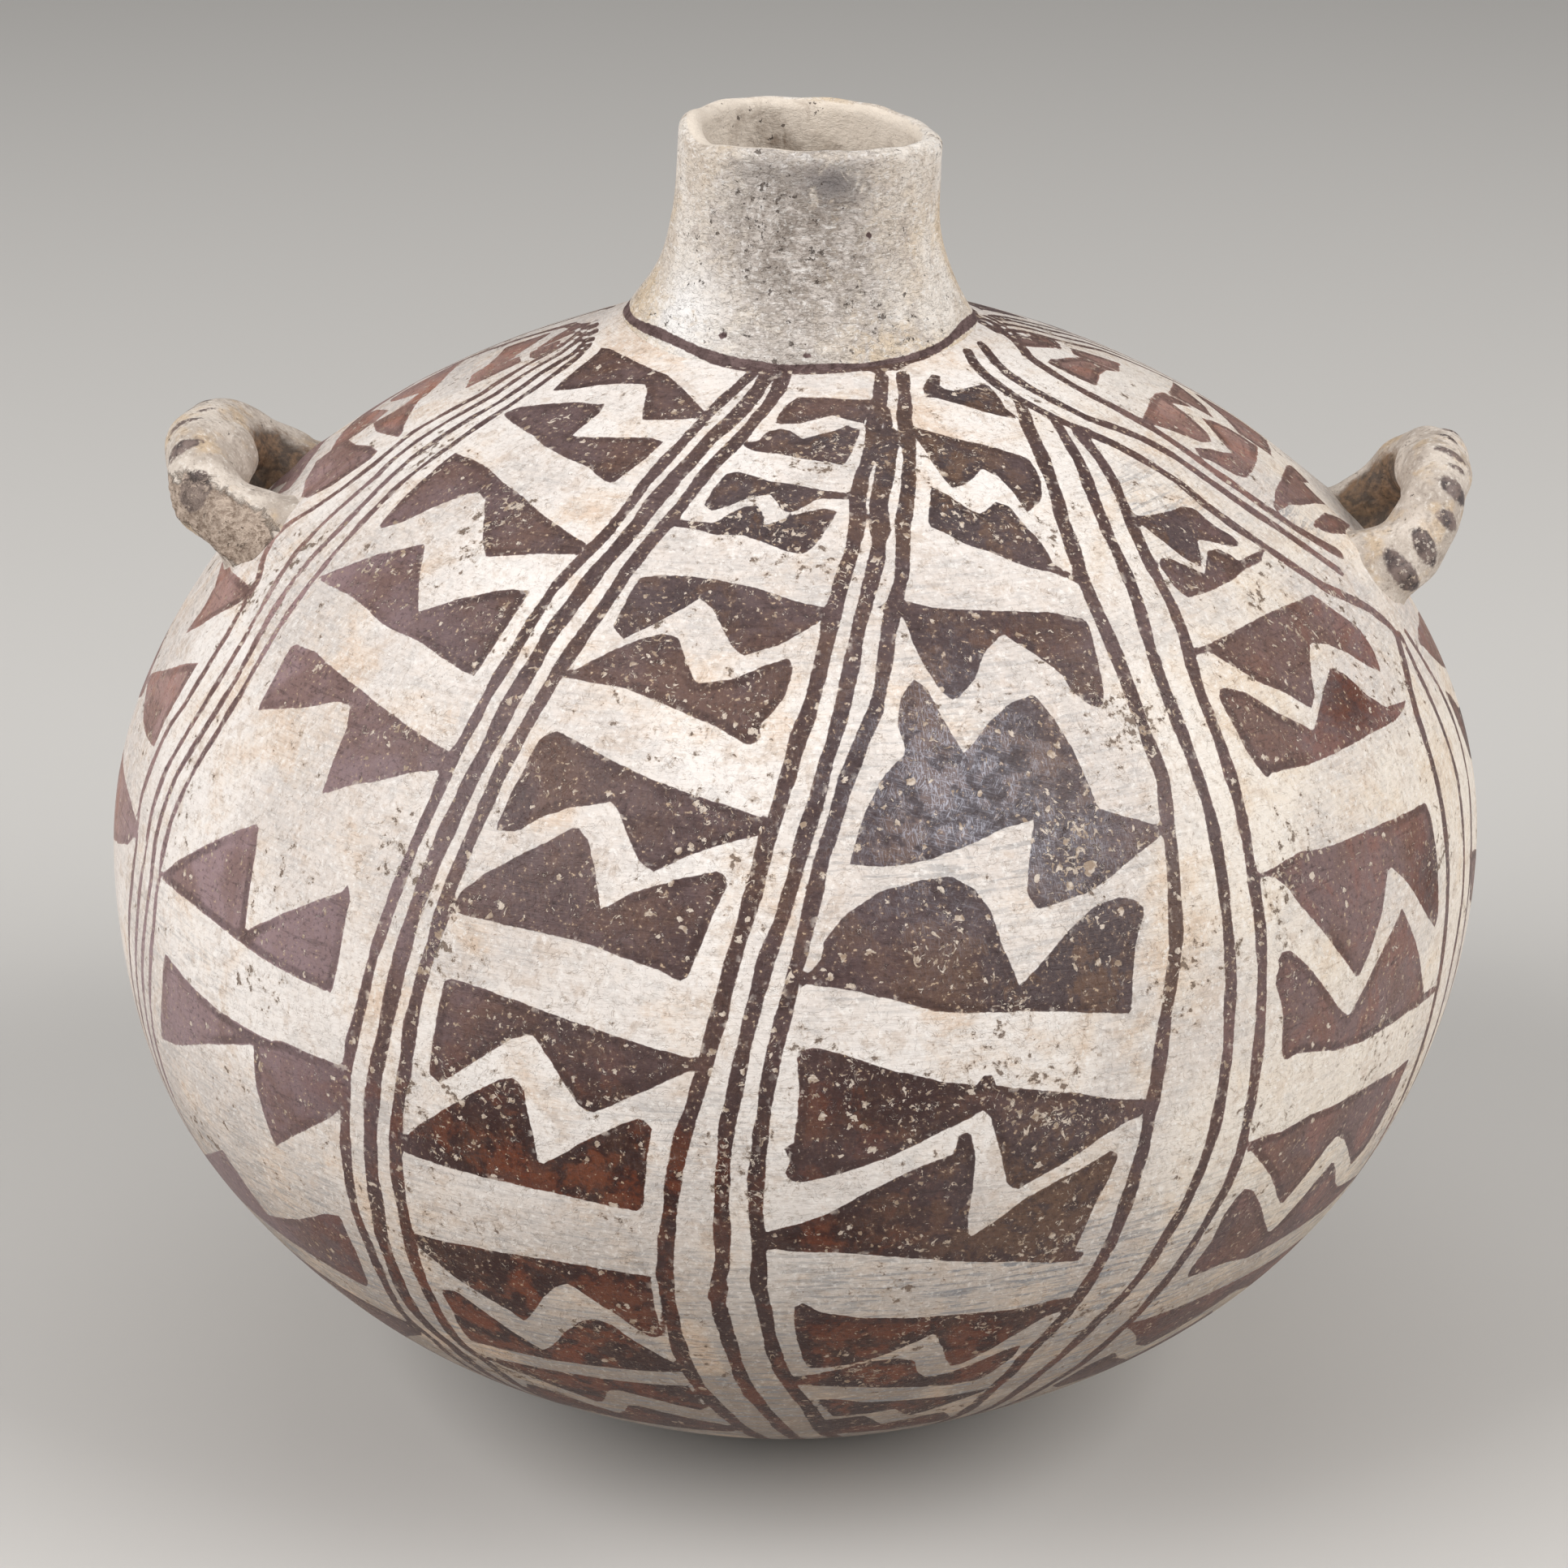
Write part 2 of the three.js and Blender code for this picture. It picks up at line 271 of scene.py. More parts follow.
rest_height = -height_at(rest_radius, belly)
root_height = height_at(neck_root, shoulder)
slope = np.linspace(-math.pi / 2, math.pi / 2, 4001)
trace_z = np.where(slope < 0, belly["rise"], shoulder["rise"]) * np.sin(slope)
trace_steps = np.hypot(np.diff(radius_at(trace_z)), np.diff(trace_z))
trace_arc = np.concatenate([[0], np.cumsum(trace_steps)])
trace_arc -= np.interp(0, trace_z, trace_arc)


def arc_at(z):
    """How far up along the outer skin a height lies from the widest level."""
    return np.interp(z, trace_z, trace_arc)


def skin_points(arc_from, arc_to, count):
    """Points of the outer skin, evenly spaced along it between two arcs from the widest level."""
    arcs = np.linspace(arc_from, arc_to, count)
    z = np.interp(arcs, trace_arc, trace_z)
    return [(float(radius_at(h)), float(h)) for h in z]


def inner_points(z_from, z_to, count):
    """Points of the inner skin between two heights."""
    limit = [(shoulder if z >= 0 else belly)["rise"] - wall for z in (z_from, z_to)]
    angles = [math.asin(max(-1, min(1, z / top))) for z, top in zip((z_from, z_to), limit)]
    points = []
    for angle in np.linspace(angles[0], angles[1], count):
        z = math.sin(angle) * ((shoulder if angle >= 0 else belly)["rise"] - wall)
        points.append((float(radius_at(z, wall)), z))
    return points


def spun(name, outline, turns, closed=True):
    """An outline of radius and height, turned once about the upright axis into a closed skin."""
    merge_distance = 0.00001
    mesh = bpy.data.meshes.new(name)
    places = [(r * mm, 0, (z + widest_level) * mm) for r, z in outline]
    count = len(places)
    edges = [(i, i + 1) for i in range(count - 1)] + ([(count - 1, 0)] if closed else [])
    mesh.from_pydata(places, edges, [])
    made = bpy.data.objects.new(name, mesh)
    bpy.context.scene.collection.objects.link(made)
    bpy.ops.object.select_all(action="DESELECT")
    bpy.context.view_layer.objects.active = made
    made.select_set(True)
    bpy.ops.object.modifier_add(type="SCREW")
    screw = made.modifiers[-1]
    screw.steps = turns
    screw.render_steps = turns
    screw.use_merge_vertices = True
    screw.merge_threshold = merge_distance
    screw.use_normal_calculate = True
    bpy.ops.object.modifier_apply(modifier=screw.name)
    bpy.ops.object.mode_set(mode="EDIT")
    bpy.ops.mesh.select_all(action="SELECT")
    bpy.ops.mesh.remove_doubles(threshold=merge_distance)
    bpy.ops.mesh.normals_make_consistent(inside=False)
    bpy.ops.object.mode_set(mode="OBJECT")
    return made


def places_of(piece):
    """Vertex places in millimetres, with z from the widest level."""
    flat = np.empty(len(piece.data.vertices) * 3)
    piece.data.vertices.foreach_get("co", flat)
    spots = flat.reshape(-1, 3) / mm
    spots[:, 2] -= widest_level
    return spots


def put_places(piece, spots):
    """Moves the vertices to places in millimetres, with z from the widest level."""
    moved = spots.copy()
    moved[:, 2] += widest_level
    piece.data.vertices.foreach_set("co", (moved * mm).ravel())
    piece.data.update()


def keep_measure(piece, name, values):
    """Keeps a value for each vertex on the piece, for its finish to read."""
    layer = piece.data.attributes.new(name, "FLOAT", "POINT")
    layer.data.foreach_set("value", np.asarray(values, np.float32))


def by_hand(spots):
    """The unevenness of a hand-built body, the same field for every piece, so that joints stay shut."""
    x, y, z = spots.T
    steady_foot = 16
    bearing = np.arctan2(x, -y)
    off_the_rest = np.clip((z - rest_height) / steady_foot, 0, 1)
    swell = 0.45 * np.sin(3 * bearing + 1.1) * np.cos(z / 38)
    swell += 0.3 * np.sin(5 * bearing + z / 17) + 0.22 * np.sin(8 * bearing - z / 12 + 2)
    swell *= off_the_rest * np.clip(np.hypot(x, y) / body_radius, 0, 1)
    upper_lean = np.sin(math.pi * np.clip(z / 85, 0, 1))
    lower_lean = np.sin(math.pi * np.clip(-z / 100, 0, 1))
    moved = spots.copy()
    moved[:, 0] += np.sin(bearing) * swell + (upper_lean - lower_lean) * off_the_rest
    moved[:, 1] -= np.cos(bearing) * swell
    return moved


# Painted panels: brushed before firing, each figure a dark block with a stepped or toothed edge
# beside a cream zigzag, between bundles of thin lines that run from the neck to the base. Each
# outline is listed in degrees from the front towards the right, and millimetres along the wall up
# from the widest level. The hidden back repeats the front's panels, turned half round.
figures = [
    # in front of and under the left handle
    [(-90, 112), (-85.6, 112), (-82, 113.2), (-84, 117), (-90, 119)],
    [(-90, 110), (-85.2, 110.3), (-84.3, 108), (-82.8, 100.7), (-85.6, 101.5), (-90, 102)],
    [(-90, 93.5), (-84.8, 92), (-80, 90.3), (-76, 89.2), (-80, 87.6), (-84.8, 85.7), (-90, 85)],
    [(-90, 80.3), (-84.8, 82), (-80, 84.5), (-76.5, 85), (-75.4, 83.4), (-75.9, 76.5), (-77.4, 72.6),
     (-79.6, 71.5), (-82.2, 72.6), (-90, 74)],
    [(-83.5, 55), (-80, 56.5), (-75.2, 57), (-70, 57.6), (-69.6, 55), (-72.6, 51), (-75.2, 47), (-78, 43.8),
     (-77.8, 48.8), (-79, 52.6)],
    [(-84, 32.5), (-77, 38), (-72.6, 41.8), (-69.6, 44), (-69.8, 38), (-70.2, 33.4), (-70.2, 29),
     (-73.5, 28.8), (-77, 29.5), (-80, 31)],
    [(-84, 20), (-76, 19.4), (-72.6, 19), (-70, 17.6), (-69, 15.7), (-71.3, 12.6), (-75, 10), (-82, 6)],
    # between the left handle's lines and the next bundle
    [(-71.1, 125.9), (-63.3, 126.5), (-53.9, 126), (-46.1, 125), (-37.2, 123.8), (-32.8, 122.2),
     (-27.2, 119.5), (-22.8, 116.8), (-18.3, 113.8), (-20.6, 112.8), (-26.1, 111.5), (-31.7, 110.6),
     (-32.8, 112), (-35, 115), (-37.2, 118), (-39.4, 119.6), (-42.8, 119), (-47.2, 117.8), (-51.7, 115.8),
     (-56.1, 112.8), (-60.3, 110.9), (-61.7, 112.5), (-63.9, 117), (-66.1, 122), (-67.8, 125)],
    [(-62.4, 102.6), (-61.7, 105), (-56, 108.4), (-50, 111), (-44.8, 111.8), (-43.5, 112.6), (-42, 110.3),
     (-42.2, 103.8), (-35.7, 105.3), (-27.8, 106.8), (-24, 106.5), (-25.3, 102), (-27.9, 96), (-29.6, 96.5),
     (-33.5, 98.4), (-45, 100.5), (-50, 101.7), (-57.4, 102.2)],
    [(-60, 93), (-55.2, 93.5), (-50, 93.2), (-45, 91.8), (-40, 90.3), (-35, 88), (-30, 85.8), (-26, 84),
     (-26.5, 82), (-31.3, 81), (-35.2, 79.5), (-38.3, 78.4), (-40, 80.3), (-43, 85), (-45, 87.6),
     (-47.2, 88.8), (-49, 87.6), (-51.7, 84), (-54.3, 79.5), (-57, 76.5), (-57.8, 77), (-58.7, 81.8),
     (-59.3, 87)],
    [(-60, 65), (-57, 68.8), (-53.9, 72.6), (-50.9, 75), (-48.9, 76.8), (-48, 77.2), (-46.5, 75),
     (-44.8, 71.5), (-43, 68.4), (-42, 66.8), (-38.7, 70), (-35.2, 72.6), (-32.6, 74), (-30, 74.5),
     (-30.4, 70.3), (-30.9, 65), (-31.5, 59.5), (-33.5, 60), (-36, 61), (-40, 62.5), (-45, 63), (-50, 64.8),
     (-53, 65.3)],
    [(-55.9, 55), (-52.2, 55.5), (-48.3, 54.3), (-43.9, 53), (-40, 51.5), (-35, 49.5), (-30.4, 47.8),
     (-30.9, 45.3), (-33.9, 44), (-37, 41.5), (-40, 39.5), (-42.8, 37), (-43, 41), (-43, 47), (-43.9, 50.3),
     (-45.7, 50), (-48.3, 48), (-51.7, 46), (-55.4, 44), (-55.5, 49.5)],
    [(-62.2, 13.8), (-58.7, 18.8), (-55.2, 23), (-51.7, 27), (-49, 29.7), (-48.5, 26.5), (-48, 21),
     (-47.6, 14.5), (-43.9, 18.8), (-40.4, 22.6), (-37.8, 25), (-37.2, 26.5), (-36.7, 24.5), (-36.9, 15.7),
     (-37.3, 10.7), (-40, 11), (-45, 11.8), (-50, 13), (-55.2, 13.8)],
    [(-59.8, 3.5), (-57.6, 2.8), (-54.1, 1.6), (-50.7, 0.8), (-47.2, 0.3), (-43.7, 0.1), (-42.8, 0.8),
     (-37.6, 0.5), (-35.7, 0.2), (-36.5, -6.5), (-38, -9.2), (-40.2, -11.8), (-42.8, -15.3), (-45, -18.2),
     (-45.4, -15), (-46, -8.8), (-45.9, -1.8), (-48.9, -3.8), (-52.4, -6), (-55.9, -8.8), (-58.9, -11),
     (-62.4, -12.6), (-61.7, -8.8), (-60.7, -4.2)],
    [(-74, -43), (-66, -38), (-60, -32), (-55.2, -27), (-53.8, -32), (-52.8, -38.5), (-46, -33.3),
     (-41.1, -28), (-39.1, -27), (-39, -35), (-39.8, -42), (-40.7, -44.5), (-48, -43.7), (-56, -43.5),
     (-66, -44.5)],
    [(-37.8, -52.2), (-44.6, -52), (-52, -51.5), (-62, -51), (-66, -51.5), (-64, -58), (-61, -64),
     (-56, -58), (-52, -55.5), (-49, -62), (-46, -67), (-42, -61), (-38, -56)],
    [(-36, -78), (-40, -72), (-44, -67.5), (-49, -73), (-53, -77.5), (-57, -72), (-60, -67.5), (-64, -76),
     (-66, -82), (-52, -83.5), (-38, -82.5)],
    # left of the middle
    [(1.1, 120.1), (7.2, 119.8), (13.9, 119), (20.6, 118.3), (20, 117), (16.7, 116.5), (16.1, 114),
     (14.4, 112.4), (11.7, 113.3), (8.3, 114.8), (5, 113.9), (1.1, 112.8), (-3.9, 112.9), (-3.3, 115),
     (-1.7, 117.8)],
    [(-9.2, 108), (-6.6, 108.3), (-5.3, 110.7), (-2.7, 111.5), (-0.5, 111), (1.7, 109), (4.7, 110),
     (8.2, 111), (10.8, 112), (13.2, 110.7), (11.7, 108), (10, 105.3), (8.2, 102.6), (6, 103.4), (3, 104),
     (-2.2, 105.3), (-7, 106), (-9.2, 106.8)],
    [(-10.9, 100.7), (-9.2, 101.2), (-6.6, 100.5), (-4, 99.5), (0, 98.8), (5, 97.3), (9, 96.8), (8.7, 95.3),
     (5.6, 95.7), (3.4, 95.7), (1.3, 94), (-0.5, 92.8), (-1.6, 93.4), (-3, 96), (-3.5, 96.6), (-6.6, 95.7),
     (-9.2, 94), (-11.3, 92.8), (-12.7, 93.8), (-12.2, 97)],
    [(-17.9, 90), (-16, 91), (-13.5, 90.5), (-10.5, 90.5), (-8.7, 92.6), (-7, 94), (-5.3, 94.3),
     (-4.2, 92.6), (-3.9, 90.3), (-1.3, 91.8), (1.3, 93), (4.3, 93.8), (6, 93), (4.7, 90.3), (3, 87),
     (1.3, 85), (-0.5, 85.3), (-3.5, 87), (-6.6, 88.4), (-10, 88.2), (-12.7, 89), (-16, 89.2)],
    [(-17.9, 79.5), (-15.3, 80.3), (-12.7, 80.5), (-9.2, 80.2), (-5, 79.2), (-2.2, 78), (0.8, 76.5),
     (3.9, 75.2), (3.4, 73.8), (1.3, 71.8), (-1.3, 69.5), (-5, 67.6), (-6.3, 69.2), (-7.4, 71.8),
     (-8.7, 75), (-10.3, 76.8), (-12.2, 74.5), (-14.8, 71.8), (-17.4, 69), (-19, 70.7), (-18.5, 75)],
    [(-22.7, 62.6), (-21.3, 63.4), (-18.7, 66.5), (-16, 69.2), (-13.5, 70.5), (-11.8, 70), (-10.9, 67.6),
     (-9.2, 63), (-5.7, 64), (-3, 66), (-0.5, 67.4), (0, 65.7), (-0.9, 61), (-3, 57), (-2.9, 55), (-4, 54),
     (-6.6, 56.5), (-9.2, 58), (-12.7, 60), (-16, 61.5), (-19.6, 61.8), (-22.2, 61.8)],
    [(-22.7, 52.6), (-21.3, 54), (-18.7, 52.6), (-15, 50.3), (-10, 47.6), (-5, 45.3), (-1.6, 43.4),
     (-2, 41.8), (-4, 41), (-6.6, 39.5), (-8.7, 38), (-10.9, 35.8), (-12.2, 37), (-13.3, 40.3),
     (-14.4, 43.8), (-15, 45), (-17, 44), (-18.7, 43.4), (-21.3, 41), (-22.7, 39), (-24.6, 38.8), (-24, 44),
     (-23.3, 48.8)],
    [(-27.2, 26.5), (-26.6, 29.5), (-24.8, 32.6), (-22.2, 35.7), (-19.6, 38.8), (-17.7, 41), (-16.6, 39.5),
     (-15.7, 35.7), (-14.8, 30), (-12.7, 32.6), (-9.2, 35), (-5.7, 36.6), (-5, 35), (-6, 31), (-7, 25.7),
     (-8, 21), (-10, 22.6), (-12.7, 23.8), (-15, 25), (-17.9, 25.7), (-21.3, 26), (-24.8, 26.3)],
    [(-27, 17.4), (-23.7, 16.8), (-20.2, 15.7), (-15.4, 13.9), (-10.7, 12), (-6, 10.5), (-7.2, 9.3),
     (-9.8, 6.6), (-12.4, 3.9), (-15, 1.2), (-15.9, 2.4), (-17.2, 5.8), (-18.5, 9.3), (-19.6, 11.6),
     (-21.1, 10.5), (-23.3, 7.4), (-25.9, 3.5), (-27.2, 1.8), (-28.1, 2.8), (-27.8, 7.4), (-27.4, 12.8)],
    [(-20.9, 5), (-22.4, 3.9), (-24.6, 1.2), (-27.2, -2.6), (-29.3, -5.7), (-30.4, -8), (-31.7, -9.2),
     (-31.7, -10.3), (-30.2, -10.7), (-26.3, -11.3), (-22, -11.6), (-17.6, -12), (-13.7, -12.8),
     (-11.3, -13.4), (-11, -11), (-10.7, -4.9), (-10.3, 0.1), (-11.1, 1.6), (-12.8, 0.1), (-15.4, -3),
     (-17.6, -6), (-19.1, -8), (-19.3, -4.9), (-19.8, -0.3), (-20.2, 3.5)],
    [(-31.7, -25), (-28.9, -25), (-25, -24.5), (-20.2, -24.2), (-15.9, -24.2), (-11.1, -25), (-11, -28),
     (-11, -31.8), (-10.7, -38), (-11.7, -39.2), (-12.8, -37.2), (-14.1, -34.5), (-15.7, -31.8),
     (-17.8, -28.4), (-18.9, -29.5), (-20.2, -32.2), (-22, -37.6), (-22.8, -39.2), (-23.9, -37.2),
     (-26.3, -34.5), (-28.5, -31.8), (-30, -29.2), (-31.1, -27.5)],
    [(-30.3, -36.5), (-29.6, -35.7), (-28.5, -35.7), (-26.7, -38.8), (-24.6, -43), (-22.4, -47),
     (-21.1, -45), (-19.3, -40.3), (-17.6, -36.8), (-16.3, -35.7), (-15, -36.5), (-13.7, -39.5),
     (-12, -42.6), (-10.2, -46), (-9.3, -48.4), (-13.3, -49.2), (-17.6, -49.5), (-22, -50), (-26.3, -50),
     (-30.2, -50.3), (-30.5, -47.5), (-30.2, -41.4)],
    [(-30.7, -55.5), (-26.3, -54.4), (-19.8, -54), (-13.3, -53.8), (-9.8, -53.2), (-9.3, -55.5),
     (-8.7, -62), (-9.3, -63.7), (-11.5, -62), (-14.1, -59.8), (-16.7, -58.3), (-17.8, -58.7),
     (-18.5, -60.6), (-19.8, -65.6), (-20.7, -66.8), (-22.8, -63.7), (-25.4, -60.6), (-28, -58.3),
     (-30.2, -56.8)],
    [(-28.5, -65), (-27, -65), (-25, -66.5), (-22.8, -69.5), (-20.7, -71.8), (-19.8, -73.4), (-18.5, -70.3),
     (-17.2, -65.7), (-15.9, -65), (-14.1, -66.5), (-11.5, -68.8), (-8, -71.5), (-5.9, -73.4), (-7, -78),
     (-12, -79.5), (-20, -80), (-29, -79), (-30.5, -72)],
    # right of the middle
    [(31.7, 117.5), (32.8, 119.8), (36.1, 122), (39.5, 123.6), (41.7, 123), (37.2, 119.3), (40, 117.8),
     (45, 117.8), (50, 117.4), (48.3, 113.5), (46.3, 111), (46.1, 107.8), (42.8, 109.5), (38.3, 113.5),
     (33.9, 116.8)],
    [(22.8, 111), (26.1, 109.2), (30, 106.5), (34.8, 103.8), (37.4, 101.5), (39.5, 99.7), (38.9, 96.5),
     (37.8, 94.2), (35.7, 91), (32.2, 89), (32.4, 93.4), (32, 96.9), (30.4, 99.2), (28.3, 97.6),
     (25.7, 96.3), (23.7, 96), (23.3, 99.5), (23, 105)],
    [(20, 95), (20.8, 97), (21.7, 96), (23, 94.2), (24.3, 91.8), (25.7, 90.2), (27.4, 91.2), (28.9, 92.2),
     (30.4, 91), (30.7, 87.2), (31.3, 84.2), (31.4, 81), (31.1, 79.5), (32.6, 77.2), (33.9, 76),
     (32.4, 75.7), (30.4, 78), (28.3, 79.2), (27, 80.3), (24.3, 83), (21.7, 85), (20, 87.2), (17.8, 89),
     (18.9, 92.2)],
    [(8.9, 75), (9.8, 75.7), (12.6, 75.9), (15.2, 74.5), (20, 73.4), (24.3, 72.5), (27.8, 71.5),
     (31.3, 69.5), (31.1, 67.2), (30.4, 63.4), (29.6, 58), (28.7, 55.7), (27.6, 56.5), (26.5, 58.8),
     (26.1, 61.5), (24.3, 65), (21.7, 69.2), (19.1, 66.5), (17.4, 62.6), (15, 59.5), (13.9, 61), (12.8, 65),
     (12, 69.5), (11.7, 73.4)],
    [(4.3, 37.6), (5, 41), (5.9, 45), (7.6, 49.5), (9.8, 52.6), (9.3, 56.5), (10, 61), (11.4, 63.5),
     (12.6, 61.8), (13.5, 57.2), (14.8, 51.8), (17.4, 55.7), (20, 58.4), (22.6, 59.4), (23.7, 55.7),
     (24.6, 51), (25, 46.5), (25.4, 41.8), (27.8, 40), (30, 38.2), (31.5, 37.6), (30, 36), (27.8, 34.5),
     (25.7, 32.6), (23, 30.7), (18.7, 29.5), (18, 31.8), (18.5, 35.7), (19.3, 40.3), (20, 41.8), (17, 41),
     (13.9, 39.2), (10.4, 37.6), (7.4, 37)],
    [(0.6, 22.6), (2, 24.5), (2.2, 27.2), (3.9, 31), (6.5, 33.8), (9.6, 35), (12.2, 35.3), (13.9, 33.4),
     (15, 30.3), (15.7, 25), (16.7, 19.5), (18.7, 22.6), (21.3, 26.5), (23.5, 28.8), (25.7, 29.4),
     (27, 28.4), (27.7, 26.8), (26.5, 22.6), (25.9, 18), (25.6, 13), (23.5, 13.8), (20.4, 15), (17, 16),
     (13, 16.6), (10.4, 17.2), (7.4, 19.2), (4.3, 20.7), (0.4, 21.8)],
    [(0.2, 12.4), (1.5, 13), (3.3, 12.2), (6.7, 9.7), (10.7, 7.4), (13.5, 6.2), (13.7, 7.8), (14.3, 7.8),
     (14.7, 6), (17.2, 4.7), (20.7, 3.2), (23.7, 1.2), (27.2, -0.3), (26.7, -2.2), (25, -3), (22.8, -4.9),
     (20.2, -7.6), (17.6, -9.9), (16.5, -11), (15.8, -9.5), (15.2, -4.9), (14.3, 1.2), (13.7, 2.4),
     (12.4, 1.2), (10.2, -0.7), (7.6, -3), (4.1, -5.5), (0.2, -7.4), (-0.7, -6), (-0.2, -3.4), (-0.9, -2.2),
     (0, -1), (0.4, 6.6)],
    [(-2.4, -15.7), (-0.2, -14.5), (2.4, -12.6), (4.6, -9.9), (6.7, -7.6), (9.3, -5.3), (11.7, -3.8),
     (12, -0.7), (12.8, -0.7), (13.3, -4.5), (13.2, -9.9), (13, -14.5), (13.2, -18.2), (15, -16),
     (17.2, -12.6), (19.8, -10.3), (22.4, -8.4), (24.1, -6.8), (24.7, -8), (24.1, -11.4), (23, -16),
     (22.4, -20.7), (22, -23.8), (23, -24.4), (22.9, -26), (20.2, -25.3), (17.2, -24), (13.7, -23),
     (9.8, -21.6), (6.3, -20.3), (3.3, -19.5), (-0.2, -19.2), (-2.2, -18.4)],
    [(0, -30), (0.7, -29.5), (2, -31.5), (5, -33), (9.3, -33.8), (13.7, -34), (18, -34.5), (21.5, -33.8),
     (23.9, -34.5), (23.7, -36.5), (21.1, -38), (18.9, -41.5), (16.7, -45.4), (15, -48), (13.9, -48.4),
     (13.3, -46), (12.4, -41.4), (11.7, -38), (10.2, -40), (8, -42.6), (5.9, -44.5), (3.3, -45.8),
     (1.3, -46), (0.7, -43), (0.1, -36)],
    [(-1, -48.8), (1.5, -48), (4.1, -46.4), (6.7, -44.5), (8.9, -44.2), (10.4, -45.3), (10.9, -49),
     (12, -51.2), (14.1, -50.7), (16.3, -48.4), (18.5, -45.7), (20, -45), (20, -48), (18.9, -51.8),
     (17.8, -55), (15, -55.7), (12, -54.9), (8.5, -53.8), (4.1, -52.3), (-0.2, -51.2)],
    [(2, -57), (4.1, -57.2), (6.7, -59.2), (10.7, -60), (15, -60.6), (20.2, -60.4), (18.9, -62),
     (16.3, -65), (14.1, -68), (12.4, -69.5), (11.1, -66.5), (10.2, -64), (7.6, -65.3), (4.1, -65.7),
     (3.3, -62.6)],
    [(2.8, -67.8), (5, -67), (7.2, -66.5), (8.5, -69.5), (9.8, -74), (12, -72.6), (14.6, -71), (16.7, -71),
     (18.4, -76), (19, -81), (12, -82), (5, -81), (3.6, -74)],
    # between the two bundles on the right
    [(45.4, 85), (46.3, 84.2), (48.5, 83.4), (52.4, 82.5), (55.9, 82.2), (57.6, 81), (57.8, 77.2),
     (58.9, 74.2), (58.7, 72.5), (57.2, 73), (55, 75), (53, 76.5), (51.5, 74.2), (49.8, 72.2), (48.5, 75),
     (47.6, 78.8), (47, 81.8), (45.4, 82.6)],
    [(44.3, 75), (45.4, 76), (46.7, 75.3), (48.5, 72.6), (49.6, 71), (51.1, 72.6), (52.8, 74.3),
     (54.6, 73.8), (55.9, 71.8), (56, 70.7), (59.3, 70.5), (62, 70.2), (59.8, 69), (55.9, 69), (52.4, 68.5),
     (48, 68.4), (44.8, 68.6), (44.2, 71)],
    [(36.5, 61.2), (37.3, 61.6), (37.3, 60.6), (36.4, 60.2)],
    [(40.2, 61), (43.7, 61), (48, 61.5), (52.4, 61.8), (55, 61.8), (59.3, 61.2), (62.8, 60.7), (63.3, 59.5),
     (64.1, 57.2), (65.4, 54.2), (66.1, 52.6), (65.9, 48.8), (64.8, 45.5), (63.3, 47.2), (61.1, 51),
     (59.3, 53.4), (56.7, 55), (55.4, 53.4), (54.1, 51), (52.8, 48), (51.5, 46.5), (49.3, 50.3),
     (46.7, 53.4), (44.6, 57.2), (43.3, 59.5), (41.5, 59.8)],
    [(41.3, 51.8), (41.5, 53.8), (42.4, 54.3), (44.6, 52.6), (47.2, 48), (49.3, 45.3), (50.3, 43.5),
     (52.4, 46), (55, 48.8), (57.2, 50.5), (58.7, 48.8), (60.2, 44.2), (62.2, 41), (66.5, 39.7), (66.5, 39),
     (62.4, 38.6), (58.9, 39.2), (52.4, 39.4), (48, 39.5), (43.3, 40.3), (42.8, 39.7), (42.2, 41.8),
     (41.7, 45), (41.5, 48.8)],
    [(38.5, 27.2), (40.7, 27.6), (43.7, 28.4), (48, 27.4), (52.4, 27.2), (56.7, 26.5), (61.1, 25.7),
     (62.8, 25.3), (63.3, 22.6), (63.4, 14.3), (63.5, 6.6), (62.8, 5.3), (60.9, 8.2), (58.7, 12.8),
     (56.5, 17.4), (54.4, 20.7), (52.6, 14.3), (50.4, 9.3), (48.9, 6.4), (46.1, 12.8), (44.3, 17.4),
     (42.8, 20.7), (41.5, 24.5), (40.7, 26)],
    [(39.6, 15.5), (40.9, 15.5), (42.2, 13.2), (44.3, 8.5), (46.5, 3.5), (47.8, 1.4), (49.1, 3.2),
     (51.3, 7), (54.3, 11.2), (55.9, 13.2), (57, 10), (58.3, 6.6), (59.6, 2.8), (60.9, -1.8), (62, -5),
     (65.7, -6), (65.2, -7.2), (61.7, -6.5), (58.3, -5.5), (54.8, -5), (50.4, -4.5), (46.1, -3),
     (43.5, -1.5), (41.3, -0.5), (40.1, -1), (39.6, 1.2), (39.8, 6.6), (39, 12), (39.6, 13.5)],
    [(36.1, -12.2), (38.7, -12.2), (40.9, -12.8), (44.3, -12.2), (47, -13), (50.4, -13.4), (54.8, -14.2),
     (59.1, -15.5), (61.7, -15.7), (60.4, -21), (59.3, -25.7), (57.8, -29.5), (55.7, -31), (53.5, -26.5),
     (51.3, -22.2), (49.6, -20.2), (48.3, -21.5), (46.1, -25.7), (44.3, -29.2), (43, -26.5), (40.9, -21),
     (38.7, -16.5), (37.2, -13.4)],
    [(37.8, -21), (39.1, -22.2), (40.9, -26.5), (42.6, -31), (44.3, -35), (45.2, -35.3), (46.5, -32.6),
     (48.7, -28.4), (50.7, -25.7), (52, -28.4), (53.7, -32.6), (55.2, -35), (60, -37.5), (62.5, -39.4),
     (56, -40.5), (50, -40), (43.5, -40.2), (40, -38.3), (35.4, -38.2), (35.2, -35.6), (36.1, -30.6),
     (36.3, -25.2), (37.2, -22.2)],
    [(30.8, -46.5), (33, -47.6), (37.4, -47.6), (43, -47.2), (50, -47.5), (57, -48), (57, -54), (55.5, -61),
